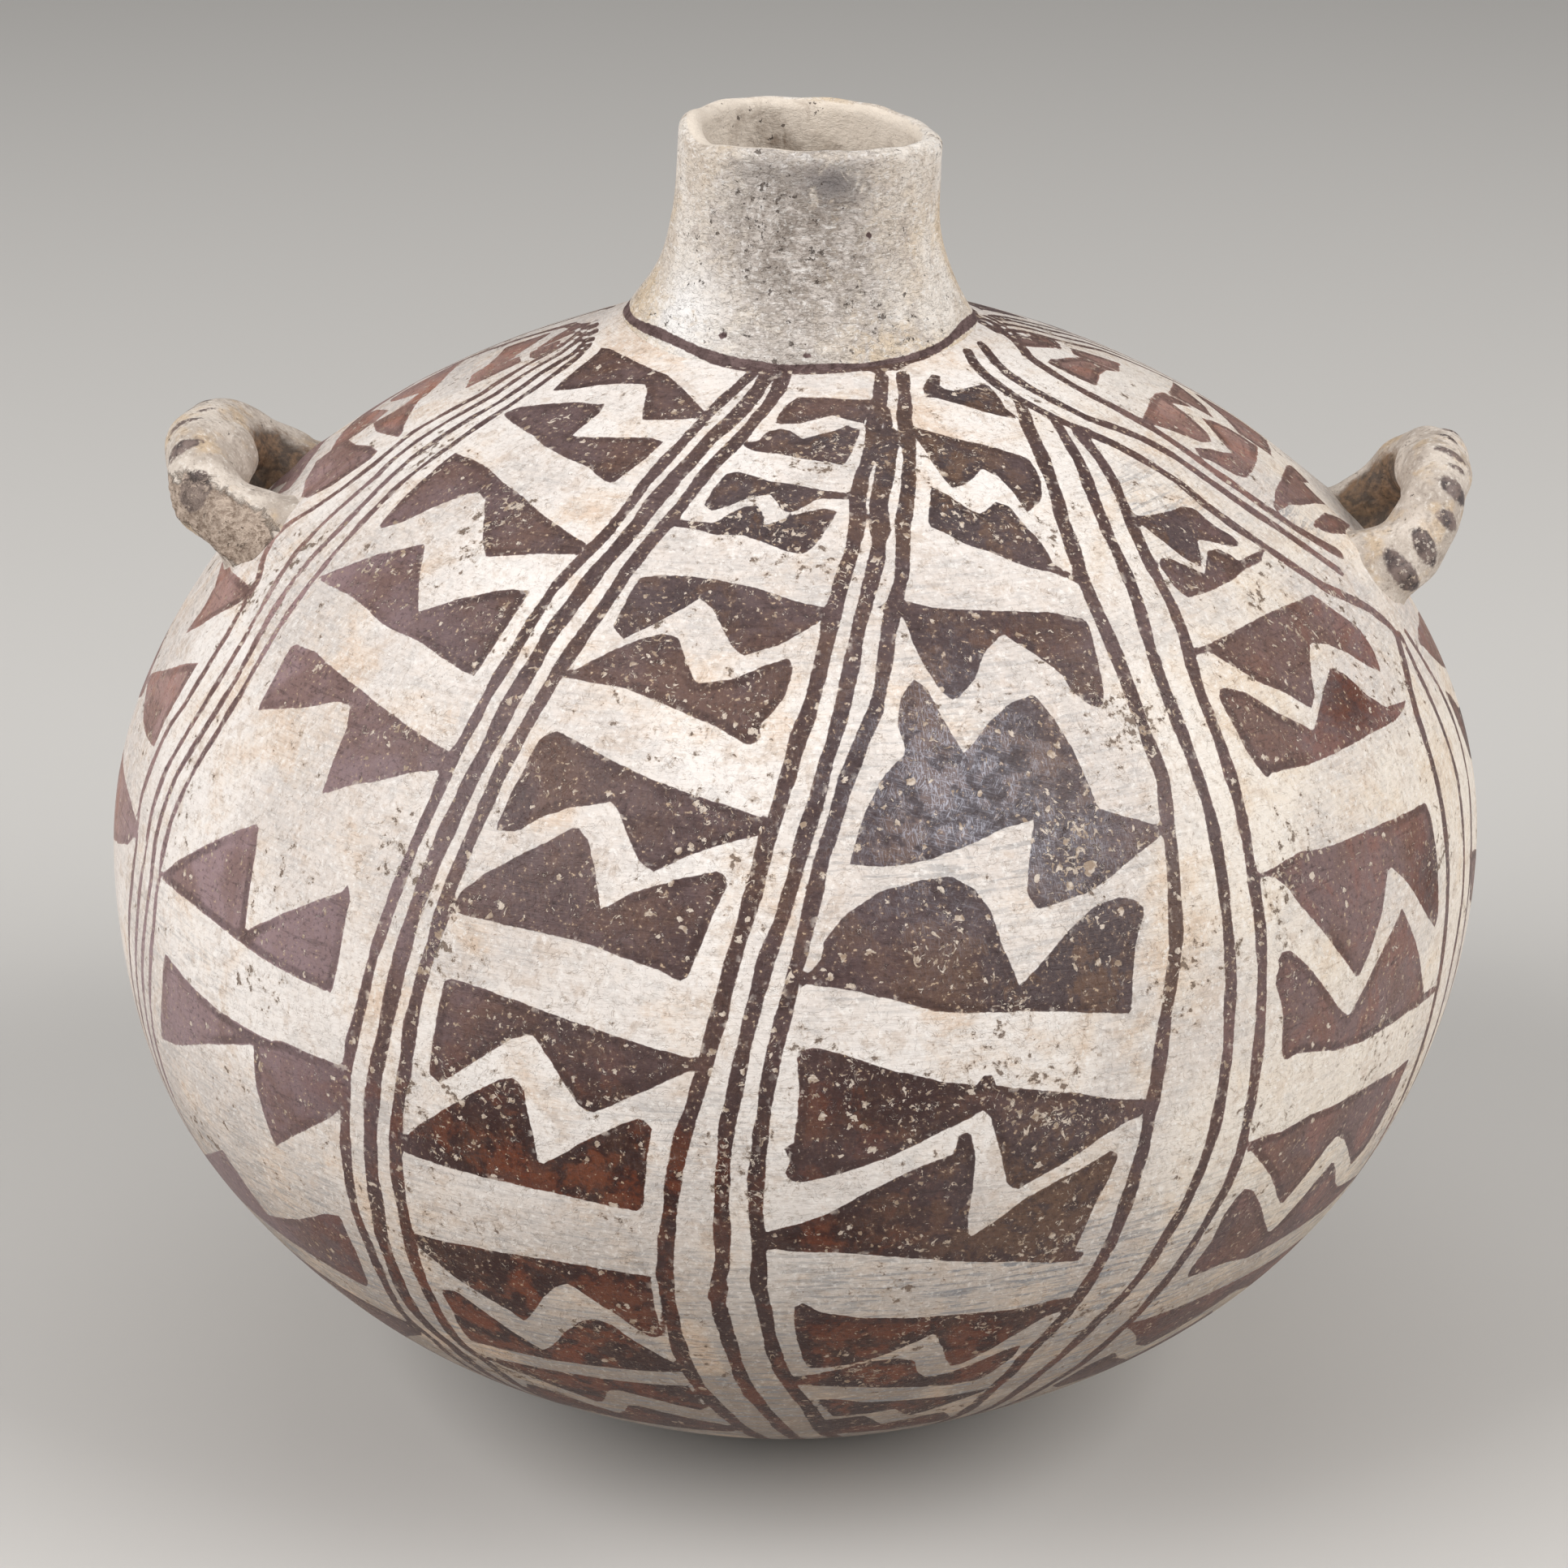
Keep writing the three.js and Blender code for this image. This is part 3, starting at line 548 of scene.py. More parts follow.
     (52, -57), (47.5, -53), (43, -58), (39, -62.5), (36.1, -58.8), (34.3, -53.7), (32, -49)],
    [(29.5, -70), (31, -62), (33.5, -58.8), (36, -64), (39.5, -69), (43.5, -64), (47.5, -59.5), (51, -65),
     (54, -71), (53, -75), (42, -74), (32, -74)],
    # under the right handle
    [(80.6, 122.5), (87.2, 123), (90, 122.8), (90, 114), (86.1, 116.5), (81.7, 119.5)],
    [(75.6, 113), (76.1, 115), (79.4, 114.8), (85, 112.3), (90, 109.6), (90, 103), (87.2, 105.6),
     (82.8, 106.5), (78.5, 106.3), (75.5, 106), (75, 108.5)],
    [(70.2, 97), (74.1, 97.6), (78.5, 97.8), (82.8, 97.8), (86.3, 97.2), (90, 95.5), (90, 89.5),
     (88.5, 91.5), (85.9, 94.2), (84.1, 91), (81.1, 87.6), (78.5, 86.5), (75.9, 88), (74.1, 91.8), (72, 95),
     (70.7, 95.7)],
    [(70.7, 87.2), (72.8, 88.2), (75.4, 86.5), (77.6, 84.2), (79.3, 83), (81.1, 85), (84.1, 87.2),
     (86.7, 88.8), (88.9, 86.5), (90, 83.5), (90, 78), (87.2, 78.4), (82.8, 78.8), (78.5, 79), (74.1, 79.5),
     (72.8, 81), (72, 85)],
    [(70.2, 73.8), (74.1, 74.2), (76.7, 74.8), (80.7, 74.5), (85, 73.8), (90, 72.6), (94, 70.5),
     (91.5, 67.2), (88.9, 69.2), (87.6, 67.2), (86.7, 65), (85, 66.5), (82.8, 68), (78.5, 70.3),
     (76.3, 71.8), (72.8, 72.6)],
    [(75.4, 67.6), (78.5, 67.2), (82, 66.5), (85, 63.4), (86, 61), (80.5, 62.5), (77, 65)],
    [(77, 43), (82, 42.6), (88, 41), (96, 37), (100, 31), (96, 28), (90, 29), (84, 34), (81, 37.5),
     (79, 41)],
    [(78.9, 33.4), (81.1, 31), (84.1, 26.5), (89.3, 23.4), (96, 21), (100, 15), (94, 13), (86, 16),
     (82, 19.5), (80, 26)],
    [(74.3, 9), (78, 7), (84, 2.5), (90, -1), (98, -3), (98, -9), (88, -8), (81, -5), (76, 0)],
    [(77, -22), (82, -20), (88, -17), (90, -22), (91, -28), (97, -23), (104, -19), (105, -27), (103, -34),
     (92, -35), (80, -34)],
    [(78, -42), (90, -43), (102, -42), (104, -47), (102, -54), (98, -49), (92, -46), (89, -52), (86, -57),
     (82, -51)],
]

# Each brushed line: its width in millimetres, then its points
lines = [
    (1.5, [(-94.4, 125.5), (-88.3, 122.5), (-84, 118.5), (-81.3, 111), (-78.7, 106.5), (-76, 102.6),
     (-75.7, 98), (-75.4, 91), (-74, 87), (-73, 83.4), (-72.8, 78), (-73.5, 72.6), (-75, 67.6), (-74.8, 65),
     (-72.6, 61.8), (-70, 59), (-68.7, 55), (-67.6, 50), (-67.3, 44), (-67.6, 38), (-68.7, 33.4),
     (-69.3, 27), (-69.7, 21), (-68.6, 14), (-69, 7.4), (-70.5, -2), (-72, -14), (-73, -30), (-72, -48),
     (-70, -64), (-66, -82), (-62, -96)]),
    (1.4, [(-94.4, 128), (-86.7, 125.3), (-81.7, 122), (-78.3, 117), (-76.8, 111.8), (-74.8, 108),
     (-72.6, 104.5), (-72, 101), (-71.7, 95.7), (-71.3, 91), (-70.4, 86.5), (-69, 82.6), (-68.5, 77),
     (-68.3, 71.8), (-67.6, 65.7), (-66.3, 61), (-65, 56.5), (-64, 51.8), (-63.7, 46.5), (-63.9, 40.3),
     (-64.8, 34), (-65.9, 28), (-66.3, 21.8), (-66, 14.3), (-66.5, 8.2), (-67, 2.8), (-68, -3),
     (-69.5, -15), (-70.3, -30), (-69.5, -48), (-67.5, -64), (-63.5, -82), (-59, -96)]),
    (1.5, [(-91.7, 129.5), (-84.4, 127), (-78.3, 123.8), (-74.4, 120), (-72, 112), (-69.6, 108), (-68, 104),
     (-67.8, 99.5), (-67.4, 94), (-67, 88.8), (-66, 84), (-64.8, 78.8), (-64, 72.6), (-63.9, 67),
     (-63.3, 61.8), (-62.4, 56.5), (-61.5, 51), (-61, 45.7), (-61.5, 39.5), (-62.4, 34), (-63.5, 28.8),
     (-64, 23.4), (-64.2, 18.8), (-63.8, 12), (-64.3, 6.6), (-65, 2), (-65.9, -3.4), (-67, -15),
     (-67.8, -30), (-67, -48), (-65, -64), (-61, -82), (-56.5, -96)]),
    (1.4, [(-86.7, 129.5), (-80.6, 127.5), (-75, 124.5), (-70.6, 120), (-68.3, 115), (-66, 110),
     (-63.9, 103.4), (-63.3, 98.8), (-62.7, 94), (-62.6, 88.8), (-62.4, 84), (-61.5, 78), (-60.9, 72.6),
     (-60.4, 67), (-60, 61), (-59.6, 55.7), (-59.2, 50.3), (-59, 45), (-59.6, 38), (-60.4, 33.4),
     (-61.3, 28), (-62, 22.6), (-62.2, 17), (-62.3, 10.5), (-62.4, 5.8), (-63, 1.2), (-63.6, -3.4),
     (-64.3, -8), (-65, -14.2), (-65.5, -30), (-64.8, -48), (-62.5, -64), (-58.5, -82), (-54, -96)]),
    (1.9, [(-12.2, 128), (-14.4, 123.5), (-16.7, 119), (-18.3, 115), (-19.7, 110), (-21.3, 104),
     (-22.9, 97), (-23.5, 91.8), (-24.4, 86.5), (-26, 81), (-27.4, 75.7), (-28, 70), (-28.5, 64),
     (-29.2, 58), (-29.8, 51.8), (-30.5, 46.5), (-30.9, 41), (-31.6, 35), (-32.2, 29.5), (-32.9, 23.4),
     (-33.5, 18.8), (-34.3, 10.5), (-35, 5.8), (-35.7, -0.3), (-36.1, -6.5), (-36.5, -12.6), (-36.8, -18.8),
     (-37, -24.9), (-36.8, -31.1), (-37, -37.2), (-37.4, -43.4), (-37.8, -48.8), (-37.6, -51.8),
     (-36.5, -56.5), (-37, -61), (-37, -70), (-36, -82), (-34, -97)]),
    (2.6, [(-7.8, 128), (-8.9, 123.5), (-10.6, 118.5), (-12.8, 113.5), (-15.6, 108.5), (-17, 104),
     (-18.7, 98.8), (-20, 94), (-20.7, 89.5), (-21.8, 85), (-23.3, 79.5), (-24.2, 74), (-25.3, 68.8),
     (-25.9, 62.6), (-26.8, 56.5), (-27.2, 51), (-28, 45), (-28.7, 39.5), (-29.4, 34), (-30, 28.8),
     (-30.7, 22.6), (-31.4, 15), (-32.2, 6.6), (-33, 0.5), (-33.5, -4.9), (-33.9, -11), (-34.2, -16.5),
     (-34.3, -21.8), (-34.8, -28), (-34.9, -34.2), (-35.2, -39.5), (-35.4, -45.7), (-35, -51),
     (-34.1, -55.7), (-34.1, -59.5), (-34.3, -70), (-33, -82), (-31, -97)]),
    (2.2, [(-2.8, 127.5), (-3.9, 122.5), (-6.1, 117.5), (-8.3, 113), (-11.1, 107), (-12.4, 104.5),
     (-14, 101), (-15.3, 95.7), (-16.6, 91), (-18.3, 85.7), (-19.6, 80.3), (-20.5, 75), (-21.8, 68.8),
     (-22.9, 63.4), (-23.7, 58), (-24.6, 52.6), (-25.5, 46.5), (-26.2, 40.3), (-27, 34), (-27.7, 28.8),
     (-28.2, 23), (-29.3, 14.3), (-29.8, 8.9), (-30.2, 2.8), (-30.7, -1), (-31.1, -4.9), (-31.5, -10.3),
     (-31.7, -16.5), (-31.7, -22.6), (-31.9, -28), (-32, -34.2), (-32, -39.5), (-32.2, -45.7),
     (-32.3, -50.3), (-32, -53.8), (-30.9, -58), (-30.7, -62.6), (-30.9, -68), (-30, -82), (-28, -97)]),
    (2.3, [(25.6, 125.5), (23.3, 122.5), (21.1, 119), (18.3, 115), (16.1, 111.5), (13.4, 105),
     (10.8, 100.3), (9.3, 95.7), (8.7, 91), (7.3, 85.7), (5.8, 81), (4.5, 75.7), (3.4, 70.3), (2.3, 64),
     (1.3, 58.8), (0.2, 54), (-0.5, 49.5), (-1.3, 45), (-2.2, 40.3), (-2.9, 35), (-3.7, 29.5), (-4.6, 24),
     (-5.4, 17.4), (-6.3, 10.5), (-7.2, 4.3), (-8, -0.3), (-8.7, -6.5), (-9.1, -12.6), (-9.6, -18.8),
     (-9.9, -24.2), (-9.8, -30.3), (-9.7, -36.5), (-9.5, -43.4), (-9, -49.5), (-8.4, -55), (-7.6, -60.3),
     (-6.7, -66.5), (-5.9, -72.6), (-5, -78.8), (-4.3, -85.7), (-3, -97)]),
    (1.4, [(20.6, 115.5), (19.6, 112.5), (18.6, 109.8)]),
    (2.9, [(18.4, 109.5), (16, 104), (13.9, 98.8), (12, 94), (11.3, 88.8)]),
    (2.2, [(11.3, 88.8), (10, 83.4), (8.4, 78), (6.9, 72.6), (5.8, 67), (5, 62.6), (4, 57), (2.8, 51.8),
     (1.9, 46.5), (0.8, 41), (0, 35.7), (-0.9, 30.3), (-2, 25), (-3, 17.4), (-3.7, 12), (-4.2, 6.6),
     (-4.8, 1.2), (-5.1, -4.9), (-5.3, -11), (-5.3, -16.5), (-5.4, -21.8), (-6, -27.2), (-5.8, -31.8),
     (-5.4, -37.2), (-5, -43.4), (-4.6, -49.5), (-3.9, -55), (-2.9, -61.4), (-2, -67.2), (-1.3, -73.4),
     (-0.4, -80.3), (0.4, -88), (1.5, -97)]),
    (2.9, [(-5.7, -26.4), (-6, -28.4)]),
    (2.2, [(31.7, 125), (28.3, 120.5), (25.6, 116.5), (23.3, 113), (21.7, 109), (20.2, 104.5), (18.7, 101),
     (16.5, 95), (14.7, 90.3), (13.7, 85.7), (12.6, 80.3), (10.8, 75), (9.7, 70.3), (8.7, 65), (7.6, 59.5),
     (5.8, 54), (4.5, 49.5), (3.4, 44), (2.3, 38.8), (1.5, 33.4), (0.8, 28), (0, 22.6), (-0.7, 17.4),
     (-1.5, 11.2), (-2, 5.8), (-2.4, -0.3), (-2.7, -6.5), (-2.8, -11.8), (-2.6, -16.5), (-2.6, -21),
     (-2.7, -25.7), (-2.3, -31), (-2, -36.5), (-1.6, -41.8), (-1, -47.2), (-0.3, -51.8), (0.6, -56.5),
     (1.5, -61), (2.2, -66.5), (2.7, -72.6), (3.7, -78.8), (5.2, -86), (7, -97)]),
    (2.3, [(51.5, 111.5), (50.7, 110.5), (46.1, 106.1), (43.5, 101.8), (40.7, 96.5), (38.5, 91.5),
     (36.3, 86.5), (34.8, 81), (33.7, 76.5), (33, 70.3), (32.6, 63.4), (32.2, 56.5), (32, 49.5),
     (32.2, 44.2), (31.5, 38.8), (31, 32.6), (30.4, 26.5), (30, 21), (29.1, 15.6), (28.4, 11), (28, 6.6),
     (27.6, 2), (27.2, -1.8), (26.7, -8), (26.2, -12.5), (25.7, -18), (25.1, -24.2), (24.3, -30.3),
     (23.7, -34.9), (23, -39.5), (22.1, -44.2), (21.1, -48.8), (20.8, -55), (20.2, -59.5), (20, -66),
     (20, -78), (19, -97)]),
    (2.1, [(53.5, 105.6), (52.4, 104.5), (50, 101), (47.6, 96.5), (44.8, 91.5), (42.8, 87.2), (41.1, 82.6),
     (39.8, 77.2), (38.7, 71.8), (37.4, 66.5), (36.3, 61), (35.9, 56.5), (35.7, 50.3), (35.7, 44.2),
     (35.7, 37.2), (35.4, 31), (35.1, 25), (34.9, 19.5), (34.7, 14.2), (34.3, 9), (34.1, 4.3), (33.7, -1.8),
     (33.2, -8), (32.4, -14.2), (31.5, -20.3), (30.4, -25.7), (29.6, -31.8), (28.5, -37.2), (27.2, -41.8),
     (26.3, -47.2), (25.4, -53.4), (24.6, -58.8), (24.2, -66), (24, -78), (22.5, -97)]),
    (2.1, [(55.9, 100.8), (53.9, 101), (51.7, 95.7), (49.6, 91), (47.2, 86.5), (45.2, 81.8), (43.7, 77.2),
     (42.8, 72.6), (42.2, 68), (41.3, 63.4), (40.2, 58.8), (39.5, 54.2), (39.3, 48.8), (39.1, 43.4),
     (38.9, 38), (38.6, 32.6), (38.3, 27.2), (38.2, 20.5), (37.9, 15), (37.5, 9), (37.2, 3.5), (36.9, -1.8),
     (36.5, -8), (36.3, -13.4), (35.7, -18.8), (34.8, -23.4), (34.1, -28), (33.3, -33.4), (32.4, -38.8),
     (31.7, -44.2), (30.9, -48.8), (30.2, -54.2), (29.8, -59.5), (28.6, -66), (27.6, -78), (26, -97)]),
    (2.1, [(60.6, 127.5), (56.1, 124), (53.3, 120), (52.2, 116), (51.9, 112.5), (52.4, 109.5), (53.7, 105),
     (55.9, 100.3), (57.8, 96.5), (59.3, 91), (60.3, 85.7), (60.1, 81), (60.9, 75.7), (62.2, 71),
     (63.9, 65.7), (65.9, 60.3), (68.5, 56.8), (70.9, 53.4), (72.6, 49.5), (73, 47.2), (71.1, 44.5),
     (68.5, 40.3), (67.2, 36.5), (66.7, 31.8), (66.4, 25.7), (66.2, 19.5), (66.1, 14.2), (66, 8.2), (66, 2),
     (65.9, -4.2), (65.4, -12), (64.5, -24), (63, -38), (61, -52), (59, -66), (57, -80), (54, -97)]),
    (2.1, [(69.4, 127.5), (65, 124), (61.7, 121), (59.4, 117.5), (58.7, 113.5), (58.9, 109), (60.2, 102.6),
     (62.8, 98.8), (64.8, 95), (65.9, 90.3), (66.1, 85), (66.5, 79.5), (67.4, 74.2), (68.9, 68.8),
     (70.2, 64.2), (71.4, 60.5)]),
    (1.7, [(73.9, 46.5), (72.6, 41), (72.4, 35), (72.5, 28.8), (72.6, 22.6), (72, 16.5), (71.7, 10.3),
     (71.5, 4), (70.9, -0.3), (70, -6), (69.4, -16), (68.4, -28), (67, -40), (65.5, -52), (63.5, -66),
     (61, -80), (58, -97)]),
    (2.3, [(87.2, 126.5), (82.8, 122.5), (78.3, 120), (75, 118.5), (72.8, 115.5), (71.1, 112), (70, 108.5),
     (69.8, 105), (70, 100.3), (70.2, 95), (70, 90.3), (69.6, 84.2), (70, 78), (70.4, 74.2), (71.5, 69.5),
     (73.3, 65), (74.8, 62)]),
    (1.7, [(75.9, 45.5), (76.3, 39.5), (77.2, 34.2), (77.8, 28.8), (77.8, 24.2), (77.4, 18.8), (75.9, 12.6),
     (75, 6), (74.2, -4), (73.3, -16), (72, -28), (70.6, -40), (69, -52), (66.8, -66), (64, -80),
     (61, -97)]),
]


def distance_to_strokes(across, up, scale, points, closed):
    """Shortest distance from each spot to the strokes between the points, below zero inside if closed.

    The points are in degrees and millimetres. Each spot has its place across and up in millimetres,
    and scale is how many millimetres a degree measures there.
    """
    nearest = np.full(len(up), np.inf)
    inside = np.zeros(len(up), bool)
    ends = points[1:] + points[:1] if closed else points[1:]
    for (bearing0, up0), (bearing1, up1) in zip(points, ends):
        x0 = bearing0 * scale
        dx = bearing1 * scale - x0
        dy = up1 - up0
        share = np.clip(((across - x0) * dx + (up - up0) * dy) / (dx * dx + dy * dy + 1e-9), 0, 1)
        nearest = np.minimum(nearest, np.hypot(across - x0 - share * dx, up - up0 - share * dy))
        if closed and up0 != up1:
            crosses = (up0 > up) != (up1 > up)
            inside ^= crosses & (across < x0 + (up - up0) * dx / dy)
    return np.where(inside, -nearest, nearest)


unpainted = 9.0
brush_reach = 5.0


def painted_edge(bearing, arc, radius):
    """Distance to the nearest painted edge in millimetres, below zero where there is paint."""
    edge = np.full(len(arc), unpainted)
    margin = brush_reach / np.maximum(radius * math.pi / 180, 0.3)
    runs = [(None, points) for points in figures] + lines
    # the back is the front turned half round and shifted a little; both run on past their joint
    back_bearing = np.mod(bearing, 360) - 180
    back_shift = 1.4 * np.sin(arc / 21 + 0.6) + 0.8
    back_lift = 1.2 * np.sin(np.radians(bearing) * 3)
    for degrees, height in ((bearing, arc), (back_bearing + back_shift, arc + back_lift)):
        for width, points in runs:
            bearings, heights = zip(*points)
            near = (degrees > min(bearings) - margin) & (degrees < max(bearings) + margin)
            near &= (height > min(heights) - brush_reach) & (height < max(heights) + brush_reach)
            if not near.any():
                continue
            scale = radius[near] * math.pi / 180
            gap = distance_to_strokes(degrees[near] * scale, height[near], scale, points, width is None)
            if width is not None:
                wander = 0.09 * np.sin(height[near] / 3.1 + min(bearings))
                wander += 0.06 * np.sin(height[near] / 1.3 + width * 9)
                gap = gap - width / 2 - wander
            edge[near] = np.minimum(edge[near], gap)
    return edge


def swells(along, *bumps, ground=0.0):
    """A ground with rounded bumps along it, each given as its height, its middle and half its width."""
    return sum((height * np.exp(-((along - middle) / wide) ** 2) for height, middle, wide in bumps), ground)


def crown_lift(degrees):
    """How far the root of the neck was pulled up with the shoulder, most at the left."""
    return swells(degrees, (1.9, -92, 42), (0.7, 90, 40), ground=0.5)


def neck_ring(spots):
    """The line painted round the root of the neck, as a distance like the one above."""
    x, y, z = spots.T
    degrees = np.degrees(np.arctan2(x - root_shift, -y))
    inward = neck_root - np.hypot(x - root_shift, y)
    up = np.where(inward > 0, np.hypot(inward, z - root_height - crown_lift(degrees)), inward)
    high = swells(degrees, (2.0, -50, 24), (0.9, -97, 25), (1.5, 70, 20), (-0.4, 28, 8))
    half = 0.85 + 0.12 * np.sin(np.radians(3 * degrees) + 2) + 0.1 * np.sin(np.radians(11 * degrees))
    blot = swells(degrees, (0.5, 28, 6), (0.25, -14, 5))
    gap = np.abs(up - high) - half - blot
    return np.where((z > 60) & (z < 96), gap, unpainted)


def patch(across, up, middle, height, wide, high, strength=1.0):
    """A soft oval about a middle and a height, with half its width, half its height and its strength."""
    return strength * np.exp(-((across - middle) / wide) ** 2 - ((up - height) / high) ** 2)


def blotch(bearing, arc, spots):
    """The strongest of many soft patches, which lie on the front and again half round on the back."""
    total = np.zeros(len(arc))
    for half_round in (0, 180):
        degrees = np.mod(bearing + half_round + 180, 360) - 180
        for spot in spots:
            total = np.maximum(total, patch(degrees, arc, *spot))
    return total


# Marks of fire and wear; the rust is also drawn darker as painted shade, and the shiny patch
# carries painted sheen. Each patch: degrees from the front, millimetres along the wall, half its
# width in degrees, half its height in millimetres, and its strength
patches = {
    "smoked": [
        (14, 48, 13, 22, 1.0), (22, 98, 14, 18, 0.9), (22, 22, 14, 14, 0.7), (40, 114, 10, 8, 0.9),
        (-4, 92, 9, 12, 0.8), (5, 109, 9, 4, 0.8), (18, -12, 9, 15, 0.75), (50, 78, 9, 8, 0.6),
        (-12, 76, 9, 6, 0.5),
    ],
    "rust_and_shade": [
        (-17, -8, 18, 14, 0.9), (-21, -42, 21, 36, 1.0), (8, -52, 20, 30, 1.0), (2, -20, 9, 16, 0.8),
        (6, 5, 8, 8, 0.55), (57, 45, 5, 6, 0.5), (62, 14, 4, 8, 0.5), (88, 20, 8, 10, 0.6),
        (30, -50, 10, 20, 0.5), (22, 68, 5, 4, 0.45),
    ],
    "glossy_sheen": [(14, 47, 8, 14, 1.0), (18, 38, 8, 8, 0.8)],
    "bluish": [
        (51, 86, 9, 9, 1.0), (73, 70, 5, 5, 0.9), (-55, 7, 10, 6, 0.6), (18, -25, 18, 10, 0.8),
        (12, 40, 14, 30, 0.5), (-8, 0, 16, 8, 0.5), (-70, 63, 5, 4, 0.5),
    ],
    "faded": [(88, 96, 14, 22, 1.0), (-86, 50, 9, 22, 0.9), (-82, 15, 9, 16, 0.8), (104, 50, 14, 30, 0.8)],
}


def paint_wall(piece, outer):
    """Keeps on the skin how far from a painted edge, how far up the wall and how marked each place is."""
    spots = places_of(piece)
    x, y, z = spots.T
    bearing = np.degrees(np.arctan2(x, -y))
    radius = np.hypot(x, y)
    arc = arc_at(z)
    edge = np.full(len(arc), unpainted)
    edge[outer] = painted_edge(bearing[outer], arc[outer], radius[outer])
    edge[outer] = np.minimum(edge[outer], neck_ring(spots[outer]))
    keep_measure(piece, "paint_edge", edge)
    keep_measure(piece, "along_wall", arc * mm)
    for mark, found_at in patches.items():
        keep_measure(piece, mark, blotch(bearing, arc, found_at))


def finish_shape(piece, angle=35):
    """Shades the piece smooth, but for edges sharper than this angle in degrees."""
    bpy.ops.object.select_all(action="DESELECT")
    bpy.context.view_layer.objects.active = piece
    piece.select_set(True)
    bpy.ops.object.shade_smooth_by_angle(angle=math.radians(angle))


